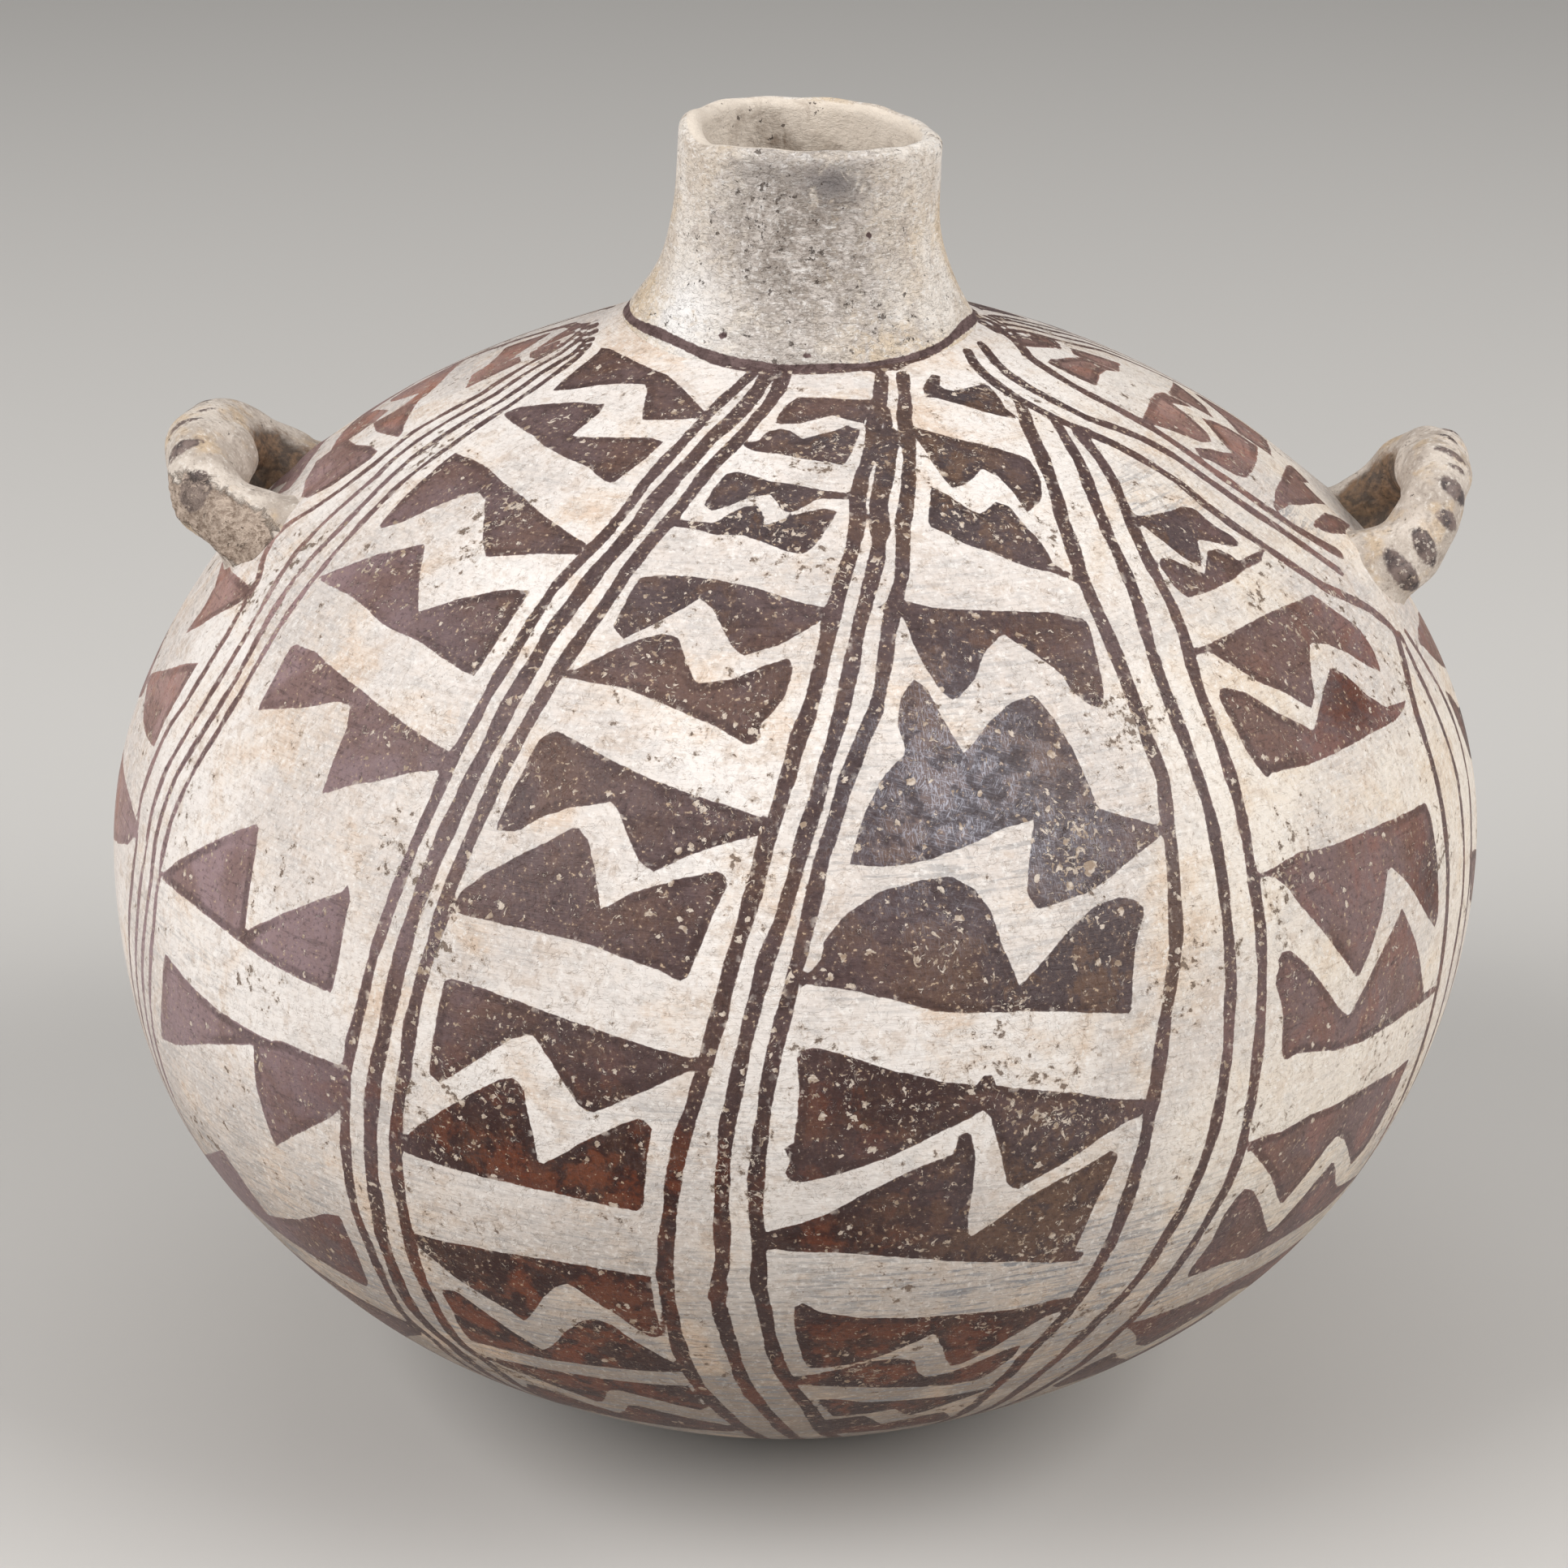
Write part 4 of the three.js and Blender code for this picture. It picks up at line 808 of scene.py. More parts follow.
def painted_slip():
    """Cream slip wiped on in level strokes, under dark brushed paint; both pitted, chipped and stained."""
    clay = Finish("painted_slip")
    x, y, z = clay.parts()
    arc = clay.measure("along_wall")
    # low rises below the widest level; the slip, its wipes, flecks and bare clay are drawn darker there as
    # painted shade
    low = arc.rise(0.0, -0.06)
    level = clay.joined(x, y, arc * 9.0)
    streaks = clay.noise(6, 4.0, 0.68, level, 0.3)
    wipes = clay.noise(2.6, 3.0, 0.7, level)
    clouds = clay.noise(30, 3.0, 0.55)
    stains = clay.noise(15, 4.0, 0.62, distortion=0.5)
    crust = clay.noise(4.2, 4.0, 0.68, distortion=0.4)
    grain = clay.noise(0.8, 3.0, 0.62)
    chips = clay.noise(1.7, 4.0, 0.64)
    gathered = clay.noise(14, 2.0)
    flakes = clay.noise(2.2, 3.0, 0.6, distortion=1.2)

    tanned = stains + (wipes - 0.5) * 0.4 + (chips - 0.5) * 0.4
    # the grey-blue wipes grow stronger towards the bottom, partly as painted shade
    blue = clay.measure("bluish") * 0.6 + low * 0.85 + clouds.rise(0.56, 0.4) * 0.2 + 0.03
    pitted = chips + gathered * 0.5 + low * 0.015
    pits = pitted.rise(0.935, 0.965)
    slip = clay.layered(
        clay.blend(clouds.rise(0.38, 0.62), "ddd2ca", "eee6e0"),
        # painted shade: the slip darkens towards the bottom of the belly and over the base
        (low * 0.95, "978677"),
        (arc.rise(-0.04, -0.105) * 0.7, "726459"),
        (stains.rise(0.47, 0.7) * 0.5, "e0cab3"),
        (tanned.rise(0.55, 0.75) * 0.45, "cda98a"),
        (x.rise(0.02, 0.08) * clouds.rise(0.3, 0.6) * 0.4, "e4d4bb"),
        (crust.rise(0.53, 0.66) * 0.45, "c2ad9b"),
        ((crust + (clouds - 0.5) * 0.5).rise(0.48, 0.36) * 0.25, "b8b4b1"),
        ((streaks.rise(0.48, 0.62) * blue).clamped() * 0.9, "86878b"),
        # painted shade: the dark wipes grow and the pale grain fades towards the bottom
        (wipes.rise(0.53, 0.68) * (low * 0.65 + 0.15), "7d6f63"),
        (grain.rise(0.53, 0.7) * (0.55 - low * 0.35), "f8f3ee"),
        (grain.rise(0.45, 0.3) * 0.35, "a08f80"),
        (flakes.near(0.54, 0.016) * chips.rise(0.46, 0.58) * 0.5, "8f7c6b"),
        (pitted.rise(0.87, 0.93) * 0.45, "a8917c"),
        (pits * 0.75, "644f40"),
    )

    edge = clay.measure("paint_edge")
    rust_and_shade = clay.measure("rust_and_shade")
    smoked = clay.measure("smoked")
    gloss_sheen = clay.measure("glossy_sheen")
    faded = clay.measure("faded")
    wash = clay.noise(10, 5.0, 0.66, distortion=0.8)
    speckle = clay.noise(0.7, 2.0, 0.6)
    # left and right are the sides turned to the two soft boxes, upper the body above its lower belly
    left = (-x).rise(0.03, 0.085)
    right = x.rise(0.035, 0.09)
    upper = arc.rise(-0.05, 0.02)
    burnt = (crust + (stains - 0.5) * 0.6).rise(0.45, 0.58)
    brushed = edge.rise(-1.7, -1.1) * edge.rise(-0.1, -0.35) * clouds.rise(0.4, 0.6)
    upright = clay.noise(0.34, 1.0, where=clay.joined(x + z * 0.2, y * 0.15, z * 0.13), distortion=0.3)
    slanting = clay.noise(0.38, 1.0, where=clay.joined(x - z * 0.6, y * 0.15, z * 0.16), distortion=0.3)
    crossing = clay.noise(0.36, 1.0, where=clay.joined(x * 0.3 + z, y * 0.2, z * 0.3), distortion=0.3)
    # fine crazing lines, drawn pale blue-white as painted glints, mostly in the shiny patch
    glinting_hairs = upright.near(0.54, 0.045) * crust.rise(0.42, 0.56)
    glinting_hairs = glinting_hairs.highest(slanting.near(0.47, 0.035) * chips.rise(0.47, 0.58))
    glinting_hairs = glinting_hairs.highest(crossing.near(0.56, 0.03) * 0.6)
    dark = clay.layered(
        clay.blend(wash.rise(0.36, 0.64), "503d3b", "685453"),
        # painted highlight: the paint is lightened on the lit left and right sides, more so higher up
        (left * (upper * 0.45 + 0.45), "a0878a"),
        (right * (upper * 0.5 + 0.25), "8c7371"),
        (right * wash.rise(0.46, 0.6) * 0.6, "8a5d50"),
        ((faded * (wash * 1.2 + 0.4)).clamped(), "b18b80"),
        (faded * wash.rise(0.5, 0.64) * 0.6, "a3644a"),
        (stains.rise(0.46, 0.64) * 0.45, "6b4c3d"),
        # rust-red paint, drawn darker than its own tone as painted shade where it lies low on the belly
        ((rust_and_shade * (wash * 1.4 + 0.75)).clamped(), "331610"),
        (rust_and_shade * (wash + (crust - 0.5) * 0.8).rise(0.45, 0.62) * 0.8, "77391a"),
        ((smoked * (wash * 0.8 + 0.5)).clamped(), "40383a"),
        ((smoked * 0.75 + 0.15) * burnt, "6d513e"),
        (brushed * 0.5, "3d2b28"),
        (streaks.rise(0.45, 0.34) * 0.35, "2f2120"),
        (speckle.rise(0.54, 0.72) * (0.3 - rust_and_shade * 0.15), "a48a76"),
        (speckle.rise(0.66, 0.72) * (0.8 - low * 0.45), "c4ab90"),
        (speckle.rise(0.45, 0.3) * 0.45, "2f2220"),
        # painted sheen: grey-blue and blue-white reflection laid into the paint of the shiny patch
        (gloss_sheen * crust.rise(0.3, 0.6) * 0.45, "868189"),
        (glinting_hairs * (gloss_sheen * crust.rise(0.34, 0.52) * 0.65 + 0.03), "c4c4d0"),
    )

    ragged = edge + (clay.noise(0.8, 2.0) - 0.5) * 0.22 + (clay.noise(3.2, 2.0) - 0.5) * 0.4
    aside = left.highest(right)
    lost = clay.noise(1.3, 3.0, 0.6, distortion=1.0)
    arcs = flakes.near(0.56, 0.012) * (chips + gathered * 0.3).rise(0.71, 0.77)
    spots = clay.specks(2.2) + (lost - 0.5) * 1.2 - clay.noise(2.4, 0.0) * 0.5
    gone = (lost + gathered * 0.5 - aside * 0.03 - low * 0.02).rise(0.9, 0.93)
    gone = gone.highest((spots + aside * 0.05 + low * 0.04).rise(-0.11, -0.15))
    gone = gone.highest(arcs * (1.0 - aside * 0.5))
    gone = gone.highest(ragged.rise(-0.9, -0.1) * clay.noise(1.4, 3.0).rise(0.58, 0.68) * 0.6)
    paint = ragged.rise(0.07, -0.1) * (1.0 - gone * 0.9)
    # bare clay where slip and paint flaked off, drawn darker towards the bottom as painted shade
    bare = clay.blend(low * 0.55, clay.blend(chips.rise(0.4, 0.6), "a08a76", "d9cabb"), "94785e")
    skin = clay.layered(slip, (gone * ragged.rise(0.1, -0.1), bare), (paint, dark))

    rough = 0.58 - paint * 0.12 - gloss_sheen * paint * 0.12 + (grain - 0.5) * 0.2
    relief = grain * 0.3 + crust * 0.4 + wipes * 0.4 + flakes.rise(0.5, 0.55) * 0.2 - pits * 0.9
    relief = relief + paint * 0.12 - gone * 0.25
    soft = clay.bump(clay.noise(26, 2.0), 0.9, 0.5)
    clay.surface(skin, rough, clay.bump(relief, 0.26, 0.9, soft))
    return clay.material


def eased(share):
    """A share held between 0 and 1 that leaves and reaches both gently."""
    share = np.clip(share, 0, 1)
    return share * share * (3 - 2 * share)


def crowned(spots):
    """Shifts the crown of the shoulder to the right with the neck, and pulls it up round the neck's root."""
    crown_height = 68
    crown_radius = 46
    x, y, z = spots.T
    inward = np.clip((crown_radius - np.hypot(x, y)) / (crown_radius - neck_root), 0, 1)
    moved = spots.copy()
    moved[:, 0] += root_shift * eased((z - crown_height) / (root_height - crown_height))
    moved[:, 2] += crown_lift(np.degrees(np.arctan2(x, -y))) * inward ** 2
    return moved


def away_from_wall(spots):
    """Height above the body's skin in millimetres, and the direction straight out of it."""
    step = 0.05
    x, y, z = spots.T
    r = np.hypot(x, y)
    slope = (radius_at(z + step) - radius_at(z - step)) / (2 * step)
    length = np.hypot(1, slope)
    normal = np.stack([x / r / length, y / r / length, -slope / length], 1)
    return (r - radius_at(z)) / length, normal


# Bearing and height say where a handle sits, rise how many degrees its loop tips up from level, and
# slant how many it is turned so that its back end drops. Reach is how far the middle of its roll
# stands out from the wall, spread how much its two feet widen, flare how far smeared clay stands out
# round them, and pad how much thicker the roll is inside the loop. Sags are places where the roll
# slipped down the wall while wet: run along the loop, width and depth.
left_loop = {
    "bearing": -90.5, "height": 55.8, "rise": 47, "slant": -4, "span": 29.5, "reach": 12.4,
    "thickness": 12.0, "depth": 11.0, "sags": [(13, 7, 2.8), (-16, 8, -2.0)],
    "spread": (1.25, 1.15), "flare": 1.5, "pad": 2.2,
}
right_loop = {
    "bearing": 89.9, "height": 49.8, "rise": 48, "slant": 8, "span": 27.0, "reach": 15.6,
    "thickness": 10.8, "depth": 10.4, "sags": [(-17, 8, 2.9), (12, 14, -1.5)],
    "spread": (1.15, 1.2), "flare": 1.2, "pad": 0.6,
}


def loop_frame(loop):
    """Middle of the handle's root on the wall, and its directions along, out of and across the wall."""
    bearing = math.radians(loop["bearing"])
    rise = math.radians(loop["rise"])
    r = float(radius_at(loop["height"]))
    root = np.array([r * math.sin(bearing), -r * math.cos(bearing), loop["height"]])
    out = Vector((math.sin(bearing) * math.cos(rise), -math.cos(bearing) * math.cos(rise), math.sin(rise)))
    along = Vector((math.cos(bearing), math.sin(bearing), 0))
    along.rotate(Matrix.Rotation(-math.radians(loop["slant"]), 3, out))
    return root, np.array(along), np.array(out), np.array(along.cross(out))


def smeared(spots):
    """Raises the wall round the feet of the handles, where their clay was smeared onto it."""
    moved = spots.copy()
    normal = away_from_wall(spots)[1]
    for loop in (left_loop, right_loop):
        root, along, out, across = loop_frame(loop)
        swirl_along = spots @ along / 1.9
        swirl_across = np.sin(spots @ across / 2.6)
        for side in (-1, 1):
            foot = root + along * side * loop["span"] / 2
            far = np.linalg.norm(spots - foot, axis=1)
            swirl = 1 + 0.35 * np.sin(swirl_along + side) * swirl_across
            moved += normal * (1.1 * np.exp(-(far / 9.5) ** 2) * swirl)[:, None]
    return moved


turns = 660
upper_rows = 122
lower_rows = 116
inner_rows = 22
root_arc = float(arc_at(root_height))
edge_arc = float(arc_at(-height_at(base_edge, belly)))
wall_finish = painted_slip()


def dress_wall(piece, node):
    """Shapes and paints the shoulder or the belly, which takes the place of a solid of the model."""
    on_the_skin = 0.3
    spots = places_of(piece)
    outer = np.abs(np.hypot(spots[:, 0], spots[:, 1]) - radius_at(spots[:, 2])) < on_the_skin
    shaped = by_hand(crowned(spots))
    shaped[outer] = smeared(shaped[outer])
    put_places(piece, shaped)
    paint_wall(piece, outer)
    piece.data.materials.append(wall_finish)
    finish_shape(piece)
    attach(piece, "root")
    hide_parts(node)


inner_root = height_at(neck_root - seam_lap, shoulder, wall)
upper_outline = skin_points(0, root_arc, upper_rows) + inner_points(inner_root, 0, inner_rows)
dress_wall(spun("shoulder_clay", upper_outline, turns), "shoulder_wall")
inner_edge = -height_at(base_edge - seam_lap, belly, wall)
lower_outline = skin_points(edge_arc, 0, lower_rows) + inner_points(0, inner_edge, inner_rows)
dress_wall(spun("belly_clay", lower_outline, turns), "belly_wall")

# Base: the first coil pinched into a shallow dish, pressed flat where the canteen stands, with its
# slip drawn darker there as painted shade, and lapped into the belly wall.
base_thickness = 6.0
base_floor = rest_height + base_thickness
base_outline = [(r, rest_height) for r in (0, 12, 20, 26.5)] + [(27.6, rest_height + 0.05)]
base_outline += skin_points(float(arc_at(rest_height + 0.35)), edge_arc, count=22)
base_outline += inner_points(inner_edge, base_floor, count=9) + [(0, base_floor)]
base = spun("base_clay", base_outline, turns // 2, closed=False)
shaped = by_hand(places_of(base))
put_places(base, shaped)
keep_measure(base, "paint_edge", np.full(len(shaped), unpainted))
keep_measure(base, "along_wall", arc_at(shaped[:, 2]) * mm)
base.data.materials.append(wall_finish)
finish_shape(base)
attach(base, "root")
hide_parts("base_dish")

# Neck and lip: two coils raised into a short flaring collar that leans right, and a last coil
# pinched over into an uneven lip. Grey and pitted, with a painted line round its root and three specks.
neck_radius = 20.0
neck_wall = 3.6
bore = neck_radius - neck_wall
mouth_height = 115.6
lip_depth = 4.8
neck_joint = mouth_height - lip_depth
lip_lap = 1.2
flare_height = 22.0
throat_flare = 7.0
neck_lean = math.radians(2.6)
# where the rim dips or rises: degrees from the front, half the width in degrees, and the height
rim_heights = [(-60, 22, -1.9), (-8, 30, -0.6), (95, 45, -0.8), (-92, 12, 0.8)]


def leaning(spots):
    """Tips each level about the middle of the neck's root, more the higher it lies, and dents it by hand."""
    share = np.clip((spots[:, 2] - root_height) / (mouth_height - root_height), 0, 1)
    moved = spots.copy()
    x, y, z = moved.T
    bearing = np.arctan2(x, -y)
    degrees = np.degrees(bearing)
    dent = 0.25 * np.sin(2 * bearing + 0.4) + 0.2 * np.sin(3 * bearing + z / 5)
    dent += 0.14 * np.sin(7 * bearing - z / 3)
    dent = dent * share * (1.4 - 0.4 * share)
    dent -= swells(degrees, (0.7, 90, 45)) * share ** 4
    dent += swells(degrees, (0.35, -90, 40)) * share
    x += np.sin(bearing) * dent
    y -= np.cos(bearing) * dent
    crest = 0.12 * np.sin(5 * bearing + 1) + 0.1 * np.sin(13 * bearing)
    for middle, wide, height in rim_heights:
        crest += swells((degrees - middle + 180) % 360 - 180, (height, 0, wide))
    z += share ** 4 * crest
    angle = neck_lean * share
    up = z - root_height
    turned_x = x * np.cos(angle) + up * np.sin(angle)
    turned_z = -x * np.sin(angle) + up * np.cos(angle) + root_height
    turned_z += crown_lift(degrees) * np.exp(-(np.clip(spots[:, 2] - root_height, -9, 99) / 8) ** 2)
    turned_x += root_shift + (neck_shift - root_shift) * share + 0.5 * np.exp(-((up - 10) / 6) ** 2)
    return by_hand(np.stack([turned_x, y, turned_z], 1))


def neck_slip():
    """Thin slip over coarse clay, left matt: pale round the back and sides, grey in front from rubbing and
    painted shade.
    """
    clay = Finish("neck_slip")
    x, y, z = clay.parts()
    level = clay.joined(x, y, z * 2.6)
    clouds = clay.noise(11, 4.0, 0.6)
    mottle = clay.noise(3.2, 4.0, 0.68, distortion=0.8)
    wipes = clay.noise(2.0, 4.0, 0.72, level, 1.4)
    grain = clay.noise(0.8, 3.0, 0.65)
    chips = clay.noise(1.5, 4.0, 0.66)
    flakes = clay.noise(1.9, 3.0, 0.6, level, 1.0)
    greyed_and_shaded = clay.measure("greyed_and_shaded")
    within = clay.measure("within")
    outside = within.rise(0.08, 0.0)
    # the front of the neck, between the two soft boxes, is drawn grey as rubbing and as painted shade
    rubbed_and_shaded = (greyed_and_shaded * 0.5 + 0.15) * outside
    grey = clay.blend(mottle.rise(0.4, 0.6), "a0958c", "cbc1b9")
    deep = (within * 2.0 + (mottle - 0.5) * 1.2 + (clouds - 0.5) * 2.2).rise(0.25, 1.2)
    pits = (chips + clouds * 0.3 + greyed_and_shaded * 0.04).rise(0.82, 0.86)
    slip = clay.layered(
        clay.blend(clouds.rise(0.38, 0.62), "d6c9bb", "ece3d9"),
        (clay.noise(15, 3.0, 0.55).rise(0.52, 0.66) * 0.6, "d3b892"),
        (mottle.rise(0.53, 0.66) * 0.5, "b09d8b"),
        ((greyed_and_shaded + (mottle - 0.5) * 1.8 + (clouds - 0.5)).rise(0.25, 0.85), grey),
        (wipes.rise(0.53, 0.64) * rubbed_and_shaded, "7d7167"),
        (wipes.rise(0.46, 0.34) * 0.65, "f4efea"),
        # chalky crust with a painted highlight on the left flare, which faces the left soft box
        (clay.measure("chalk_and_highlight") * mottle.rise(0.3, 0.5), "f7f3f0"),
        (grain.rise(0.55, 0.7) * 0.5, "f8f4f0"),
        (grain.rise(0.45, 0.3) * rubbed_and_shaded, "72665c"),
        (flakes.near(0.53, 0.02) * chips.rise(0.5, 0.6) * rubbed_and_shaded, "66594e"),
        (clay.measure("sooted") * mottle.rise(0.3, 0.45), "6d6767"),
        # painted shade inside the mouth: the lining turns brown the deeper it lies, mixed with brown stains
        ((1.0 - outside) * 0.92, clay.blend(deep, "e2d5c6", "6e5641")),
        (pits * 0.8, "4f4138"),
    )
    edge = clay.measure("paint_edge") + (clay.noise(0.9, 2.0) - 0.5) * 0.4
    skin = clay.blend(edge.rise(0.08, -0.1), slip, clay.blend(mottle.rise(0.4, 0.6), "55413f", "705b59"))
    relief = grain * 0.5 + wipes * 0.6 + mottle * 0.6 + flakes.rise(0.5, 0.56) * outside * 0.3 - pits * 1.2
    soft = clay.bump(clay.noise(9, 3.0), 0.8, 0.6)
    clay.surface(skin, (mottle - 0.5) * 0.4 + 0.56, clay.bump(relief, 0.36, 1.0, soft))
    return clay.material


def neck_marks(piece):
    """Where the neck is painted, sooted, grey and shaded, chalky and highlighted, and how deep in the mouth
    it is.
    """
    spots = places_of(piece)
    x, y, z = spots.T
    degrees = np.degrees(np.arctan2(x - neck_shift, -y))
    up = z - root_height
    edge = neck_ring(spots)
    degree_round_neck = neck_radius * math.pi / 180
    for middle, height, size in ((0.8, 2.5, 0.45), (27.5, 18.5, 0.55), (-29, 4.5, 0.55)):
        edge = np.minimum(edge, np.hypot((degrees - middle) * degree_round_neck, up - height) - size)
    soot = patch(degrees, up, 12, 26.5, 13, 3.2, 0.8) + patch(degrees, up, -15, 28, 22, 2.2, 0.3)
    # grey rubbing and painted shade on the front of the neck, strongest partway up
    greyed_and_shaded = swells(degrees, (1.0, -2, 46)) * swells(up, (0.5, 17, 11), ground=0.6)
    inner = (np.hypot(x - neck_shift, y) < bore + 1.3) & (up > -6)
    depth = np.clip((mouth_height - root_height - up) / 26, 0.08, 1)
    keep_measure(piece, "paint_edge", np.where(inner, unpainted, edge))
    keep_measure(piece, "sooted", np.where(inner, 0, np.clip(soot, 0, 1)))
    keep_measure(piece, "greyed_and_shaded", np.where(inner, 0, greyed_and_shaded))
    keep_measure(piece, "within", np.where(inner, depth, 0))
    keep_measure(piece, "chalk_and_highlight", np.where(inner, 0, patch(degrees, up, -48, 6, 17, 6)))


throat_top = inner_root + throat_flare
neck_outline = []
for share in np.linspace(0, 1, 36):
    r = neck_radius + (neck_root - neck_radius) * (1 - share) ** 2.1
    neck_outline.append((r, root_height + flare_height * share))
neck_outline += [(neck_radius, z) for z in np.linspace(root_height + flare_height + 0.6, neck_joint, 6)]
neck_outline += [(bore, neck_joint + lip_lap)]
neck_outline += [(bore, z) for z in np.linspace(neck_joint, throat_top + 1, 16)]
for share in np.linspace(1, 0, 10):
    r = bore + (neck_root - seam_lap - bore) * (1 - share) ** 1.7
    neck_outline.append((r, inner_root + throat_flare * share))
lip_round = neck_wall / 2
lip_outline = [(neck_radius, z) for z in np.linspace(neck_joint, mouth_height - lip_round, 6)]
for share in np.linspace(0, 1, 13)[1:-1]:
    turn = math.pi * share
    r = neck_radius - lip_round + lip_round * math.cos(turn)
    lip_outline.append((r, mouth_height - lip_round * (1 - math.sin(turn))))
lip_outline += [(bore, z) for z in np.linspace(mouth_height - lip_round, neck_joint + lip_lap, 5)]
neck_finish = neck_slip()
for name, outline, node in (("neck_clay", neck_outline, "neck"), ("lip_clay", lip_outline, "lip")):
    piece = spun(name, outline, turns=240)
    put_places(piece, leaning(places_of(piece)))
    neck_marks(piece)
    piece.data.materials.append(neck_finish)
    finish_shape(piece, angle=50)
    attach(piece, "root")
    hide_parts(node)

# Handles: each a roll of clay bent into a loop that stands on the shoulder to take a cord. Its two
# ends are narrowed, pushed through the wall like rivets and smeared over outside.
foot_height = 7.0
fullness = 2.3
tenon_radius = 3.4
tenon_standout = 2.0
tenon_taper = 2.2


def handle_slip():
    """Cream slip worn off a rough core, with brushed dark ticks, and brown staining with painted shade inside
    the loop.
    """
    clay = Finish("handle_slip")
    clouds = clay.noise(9, 4.0, 0.6)
    mottle = clay.noise(2.6, 4.0, 0.68, distortion=0.6)
    grain = clay.noise(0.8, 3.0, 0.65)
    chips = clay.noise(1.5, 4.0, 0.66)
    flakes = clay.noise(1.5, 3.0, 0.6, distortion=0.3)
    spall = (clay.measure("spalled") + (mottle - 0.5) * 0.7).rise(0.34, 0.5)
    core = clay.layered(
        clay.blend(mottle.rise(0.36, 0.6), "9e8c7e", "c6b3a3"),
        (chips.rise(0.46, 0.36) * 0.6, "64503f"),
        (grain.rise(0.52, 0.38) * 0.4, "735f50"),
    )
    # brown staining and painted shade on the inner face of the loop
    dirt_and_shade = (clay.measure("dirty_and_shaded") + (mottle - 0.5) * 0.9).rise(0.2, 0.8)
    grime_and_shade = clay.blend((mottle + (grain - 0.5) * 0.6).rise(0.36, 0.72), "44352b", "83654a")
    pits = (chips + clouds * 0.3).rise(0.82, 0.87)
    slip = clay.layered(
        clay.blend(clouds.rise(0.38, 0.62), "b5a89c", "d6cabe"),
        (clay.noise(6, 3.0, 0.6).rise(0.52, 0.68) * 0.55, "ccb08c"),
        (mottle.rise(0.52, 0.66) * 0.55, "93857a"),
        (grain.rise(0.54, 0.7) * 0.5, "efe8e0"),
        (grain.rise(0.45, 0.3) * 0.45, "7d7065"),
        (flakes.near(0.54, 0.02) * chips.rise(0.5, 0.62) * 0.2, "6f6257"),
        (spall, core),
        (dirt_and_shade * 0.9, grime_and_shade),
        (pits * 0.7, "5b4c40"),
    )
    edge = clay.measure("paint_edge")
    edge = edge + (clay.noise(0.8, 2.0) - 0.5) * 0.5 + (clay.noise(2.5, 2.0) - 0.5) * 0.6
    flecks = (clay.noise(0.9, 3.0, 0.62) + clouds * 0.3).rise(0.72, 0.78)
    paint = edge.rise(0.14, -0.2) * (0.95 - flecks * 0.7) * (1.0 - spall * 0.25)
    skin = clay.blend(paint, slip, clay.blend(mottle.rise(0.36, 0.62), "423738", "7d6c66"))
    relief = grain * (spall * 0.9 + 0.5) + mottle * (spall * 1.8 + 0.7) + chips * (spall * 1.2 + 0.3) - pits
    clay.surface(skin, 0.6 - paint * 0.22 + spall * 0.2, clay.bump(relief, 0.45, 1.0))
    return clay.material


def arch_of(loop):
    """The middle line of a loop: how far along the wall, how far out of it, the length run, and its leg."""
    angle = np.linspace(-math.pi / 2, math.pi / 2, 801)
    x = np.sign(angle) * np.abs(np.sin(angle)) ** (2 / fullness) * loop["span"] / 2
    y = np.clip(np.cos(angle), 0, 1) ** (2 / fullness) * loop["reach"]
    leg = wall + tenon_standout + loop["span"] ** 2 / (8 * body_radius)
    x = np.concatenate([[x[0]], x, [x[-1]]])
    y = np.concatenate([[-leg], y, [-leg]])
    run = np.concatenate([[0], np.cumsum(np.hypot(np.diff(x), np.diff(y)))])
    return x, y, run - run[-1] / 2, leg


def bent(loop, run, about, thick):
    """Places on a roll bent into the loop: run along it, angle about it from its outer face, thickness."""
    look_ahead = 0.8
    arch_x, arch_y, arch_run = arch_of(loop)[:3]
    mid_x, before_x, after_x = [np.interp(run + d, arch_run, arch_x) for d in (0, -look_ahead, look_ahead)]
    mid_y, before_y, after_y = [np.interp(run + d, arch_run, arch_y) for d in (0, -look_ahead, look_ahead)]
    length = np.hypot(after_x - before_x, after_y - before_y) + 1e-9
    side_x = -(after_y - before_y) / length
    side_y = (after_x - before_x) / length
    above = np.clip((mid_y + 3) / 3, 0, 1)
    thick = thick + loop["pad"] * np.clip(-np.cos(about), 0, 1) * np.exp(-(run / 9) ** 2)
    flat = 1 + (loop["depth"] / loop["thickness"] - 1) * above
    side = thick * np.cos(about)
    cross = thick * np.sin(about) * flat
    drop = swells(run, *[(depth, at, wide) for at, wide, depth in loop["sags"]])
    root, along, out, across = loop_frame(loop)
    axis = root + np.outer(mid_x, along) + np.outer(mid_y, out) + np.outer(drop, across)
    spots = axis + np.outer(side * side_x, along) + np.outer(side * side_y, out) + np.outer(cross, across)
    gap, normal = away_from_wall(spots)
    away = spots - axis
    away -= normal * np.sum(away * normal, axis=1)[:, None]
    away /= np.linalg.norm(away, axis=1)[:, None] + 1e-6
    smear = 1 + 0.3 * np.sin(4 * about + 1) + 0.2 * np.sin(9 * about)
    flare = loop["flare"] * smear * np.exp(-np.clip(gap, 0, 50) / 1.9) * np.clip((gap + 2.2) / 2.2, 0, 1)
    spots += away * flare[:, None]
    return by_hand(spots), mid_y


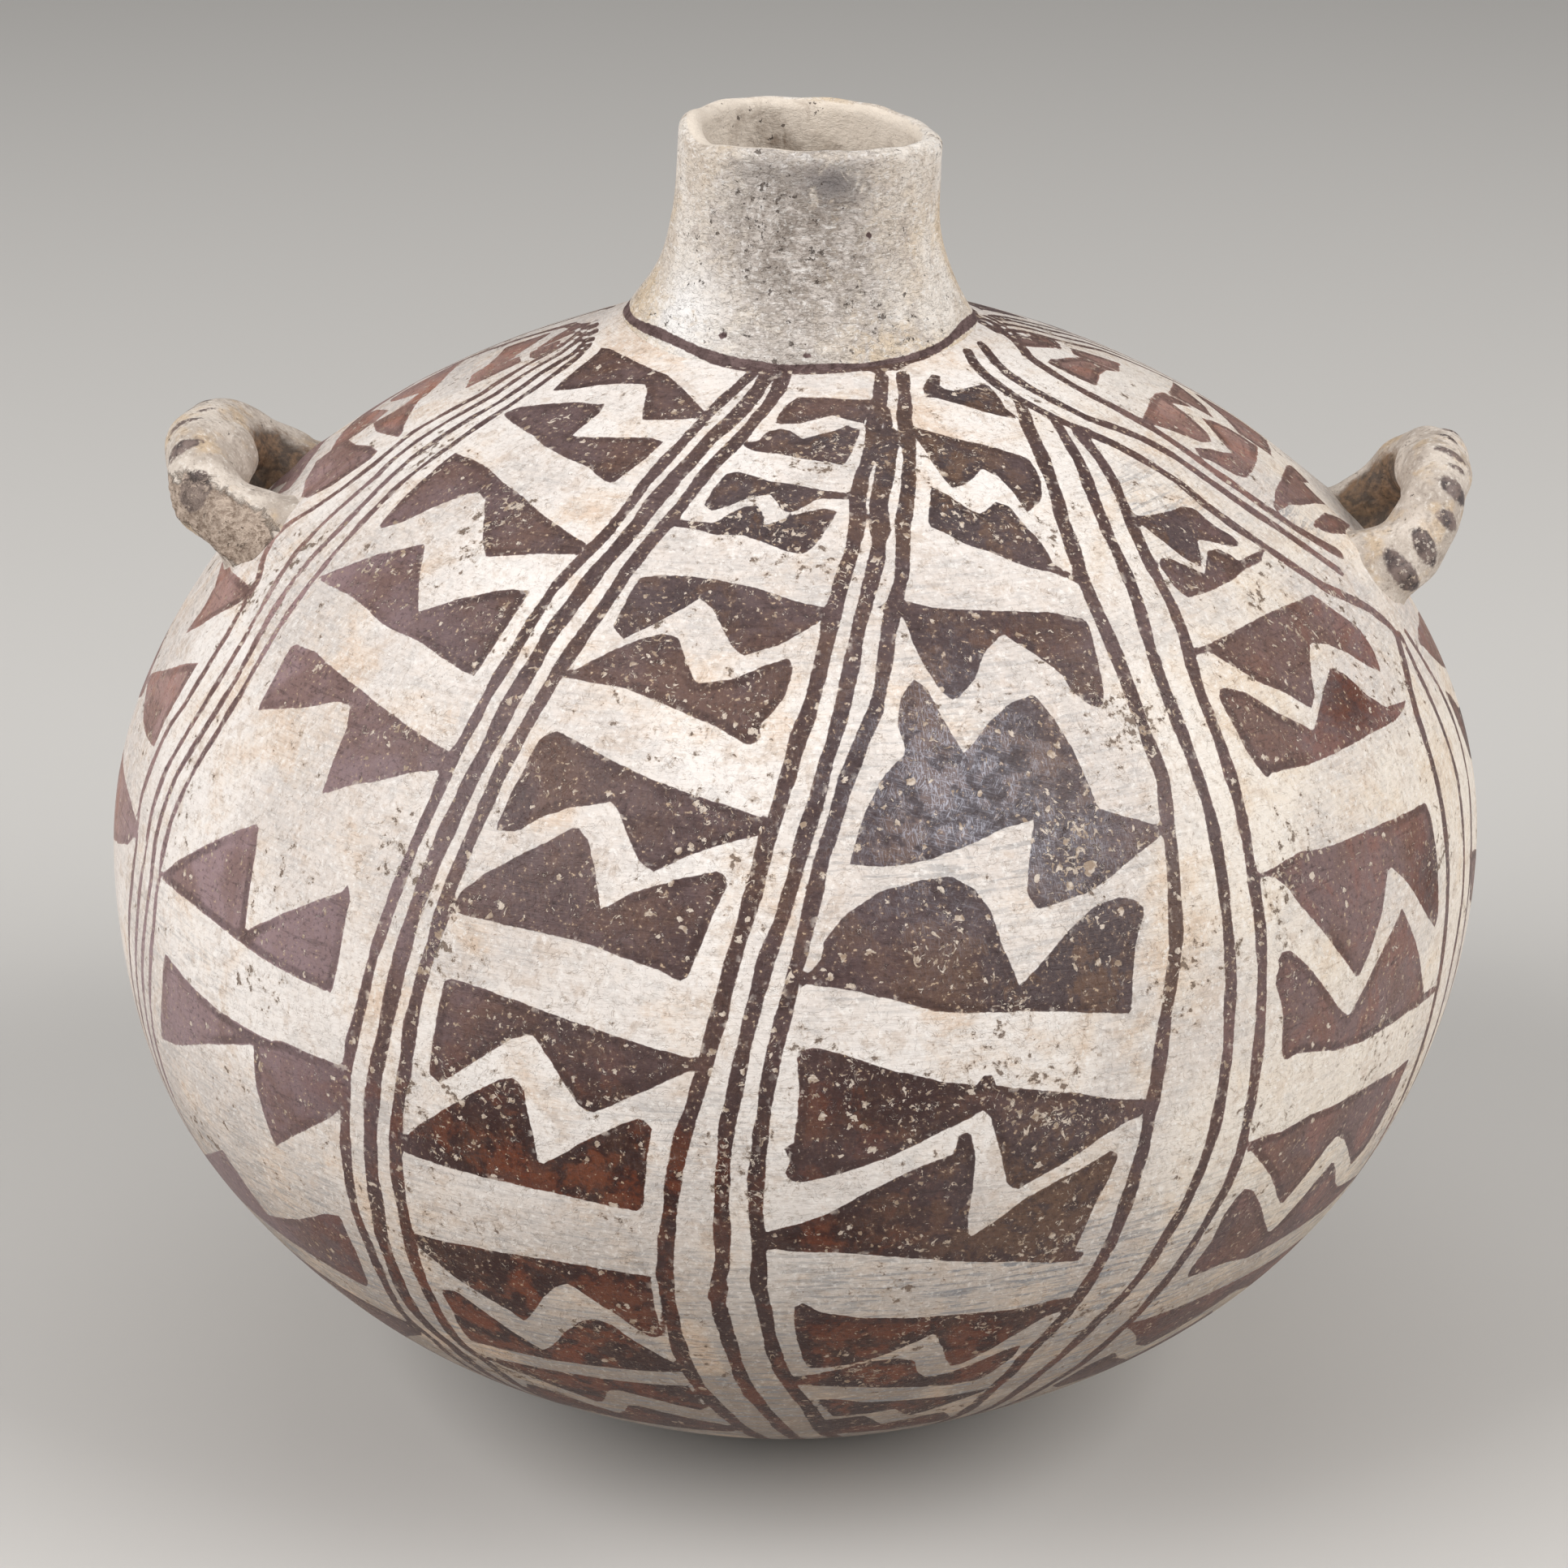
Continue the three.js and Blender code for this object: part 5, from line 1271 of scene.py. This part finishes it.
def roll_radius(loop, run):
    """Half the thickness of the roll, wider at its feet and narrowed to a rivet inside the wall."""
    arch_run, leg = arch_of(loop)[2:]
    above = arch_run[-1] - leg - abs(run)
    spread = loop["spread"][0 if run < 0 else 1]
    radius = loop["thickness"] / 2 * (1 + (spread - 1) * eased(1 - above / foot_height))
    return radius + (tenon_radius - radius) * np.clip((-above - tenon_taper) / tenon_taper, 0, 1)


def swing(about, middle):
    """How many degrees each angle about the roll lies from a middle, the short way round."""
    return (np.degrees(about) - middle + 180) % 360 - 180


def bend_roll(piece, loop, ridge, ticks, spalls, dirt_and_shade_end):
    """Bends a straight roll, whose length lies along its own z, into the loop and marks its skin."""
    roll = places_of(piece)
    run = roll[:, 2]
    about = np.arctan2(roll[:, 1], roll[:, 0])
    lump = 0.22 * np.sin(run / 2.7 + 2 * about) + 0.16 * np.sin(run / 1.3 - 3 * about + 1)
    edge = np.full(len(run), unpainted)
    girth = math.radians(1) * loop["thickness"] / 2
    for (run0, angle0), (run1, angle1), half in ticks:
        q = swing(about, (angle0 + angle1) / 2) * girth
        p = run - (run0 + run1) / 2
        long_p = (run1 - run0) / 2
        long_q = (angle1 - angle0) / 2 * girth
        long = math.hypot(long_p, long_q)
        forward = (p * long_p + q * long_q) / long
        sideways = (q * long_p - p * long_q) / long
        size = np.hypot(forward / long, sideways / half)
        edge = np.minimum(edge, (size - 1) * half)
        lump += ridge * np.exp(-(size * 0.9) ** 2)
    spall = np.zeros(len(run))
    for at, middle, long, wide in spalls:
        spall = np.maximum(spall, patch(run, swing(about, middle), at, 0, long, wide))
    crumble = np.sin(run * 2.9 + 1) * np.sin(about * 9) + np.sin(run * 4.7) * np.cos(about * 14 + 2)
    lump -= spall * (0.25 + 0.18 * crumble)
    mid_y = bent(loop, run, about, 0 * run)[1]
    here = np.clip((mid_y + 1) / 2, 0, 1)
    put_places(piece, bent(loop, run, about, np.hypot(roll[:, 0], roll[:, 1]) + lump * here)[0])
    # the inner face of the loop, marked for brown staining and painted shade, growing towards one end
    inner_face = np.clip(-np.cos(about) * 1.6 - 0.2, 0, 1) * np.clip(0.35 + run * dirt_and_shade_end / 9, 0, 1)
    keep_measure(piece, "paint_edge", edge)
    keep_measure(piece, "spalled", spall)
    keep_measure(piece, "dirty_and_shaded", inner_face)


def make_loop(name, node, loop, ridge, ticks, spalls, dirt_and_shade_end):
    """Rolls one handle out straight, with a rounded rivet at each end, then bends and marks it."""
    half_length = float(arch_of(loop)[2][-1])
    cap = tenon_radius * 0.6
    outline = [(0, -half_length)]
    for share in np.linspace(0, 1, 7)[1:]:
        turn = math.pi / 2 * share
        outline.append((tenon_radius * math.sin(turn), -half_length + cap * (1 - math.cos(turn))))
    for run in np.linspace(-half_length + cap + 0.4, half_length - cap - 0.4, 150):
        outline.append((float(roll_radius(loop, run)), float(run)))
    outline += [(r, -z) for r, z in reversed(outline[:7])]
    piece = spun(name, outline, turns=72, closed=False)
    bend_roll(piece, loop, ridge, ticks, spalls, dirt_and_shade_end)
    piece.data.materials.append(handle_finish)
    finish_shape(piece, angle=60)
    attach(piece, "root")
    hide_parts(node)


# Each tick: its two ends as the run along the loop from its top and the angle round the roll from its
# outer face, and half its width. Each spall: its middle in the same way, half its length, and half
# its width in degrees
handle_finish = handle_slip()
left_ticks = [
    ((1.5, -25), (-2, -60), 0.4), ((4, 12), (3, -48), 0.7), ((8.5, 20), (8.5, -50), 0.85),
    ((14.5, 35), (13, -38), 1.9), ((-2, 0), (-3, -40), 0.6), ((-7, 0), (-7, -40), 0.7),
    ((-12, 5), (-11, -40), 0.8),
]
right_ticks = [
    ((-20.5, -30), (-22, 65), 1.35), ((-16.5, -25), (-18, 45), 1.25), ((-13.5, -8), (-13, 38), 0.95),
    ((-10.3, -28), (-9.2, 48), 1.0), ((-7.8, -20), (-6.8, 20), 0.35), ((-5.3, -50), (-5.3, 14), 0.65),
    ((-1, -45), (-2.3, -6), 0.5), ((3, -30), (3, 10), 0.8), ((7, -25), (7, 15), 0.9),
    ((11, -25), (11, 20), 1.0), ((15, -25), (15, 25), 1.1),
]
left_spalls = [(18, 10, 7, 55), (13, 40, 4, 30)]
make_loop("left_loop", "handle_left", left_loop, 0.1, left_ticks, left_spalls, dirt_and_shade_end=-1)
make_loop("right_loop", "handle_right", right_loop, 0.5, right_ticks, [], dirt_and_shade_end=1)
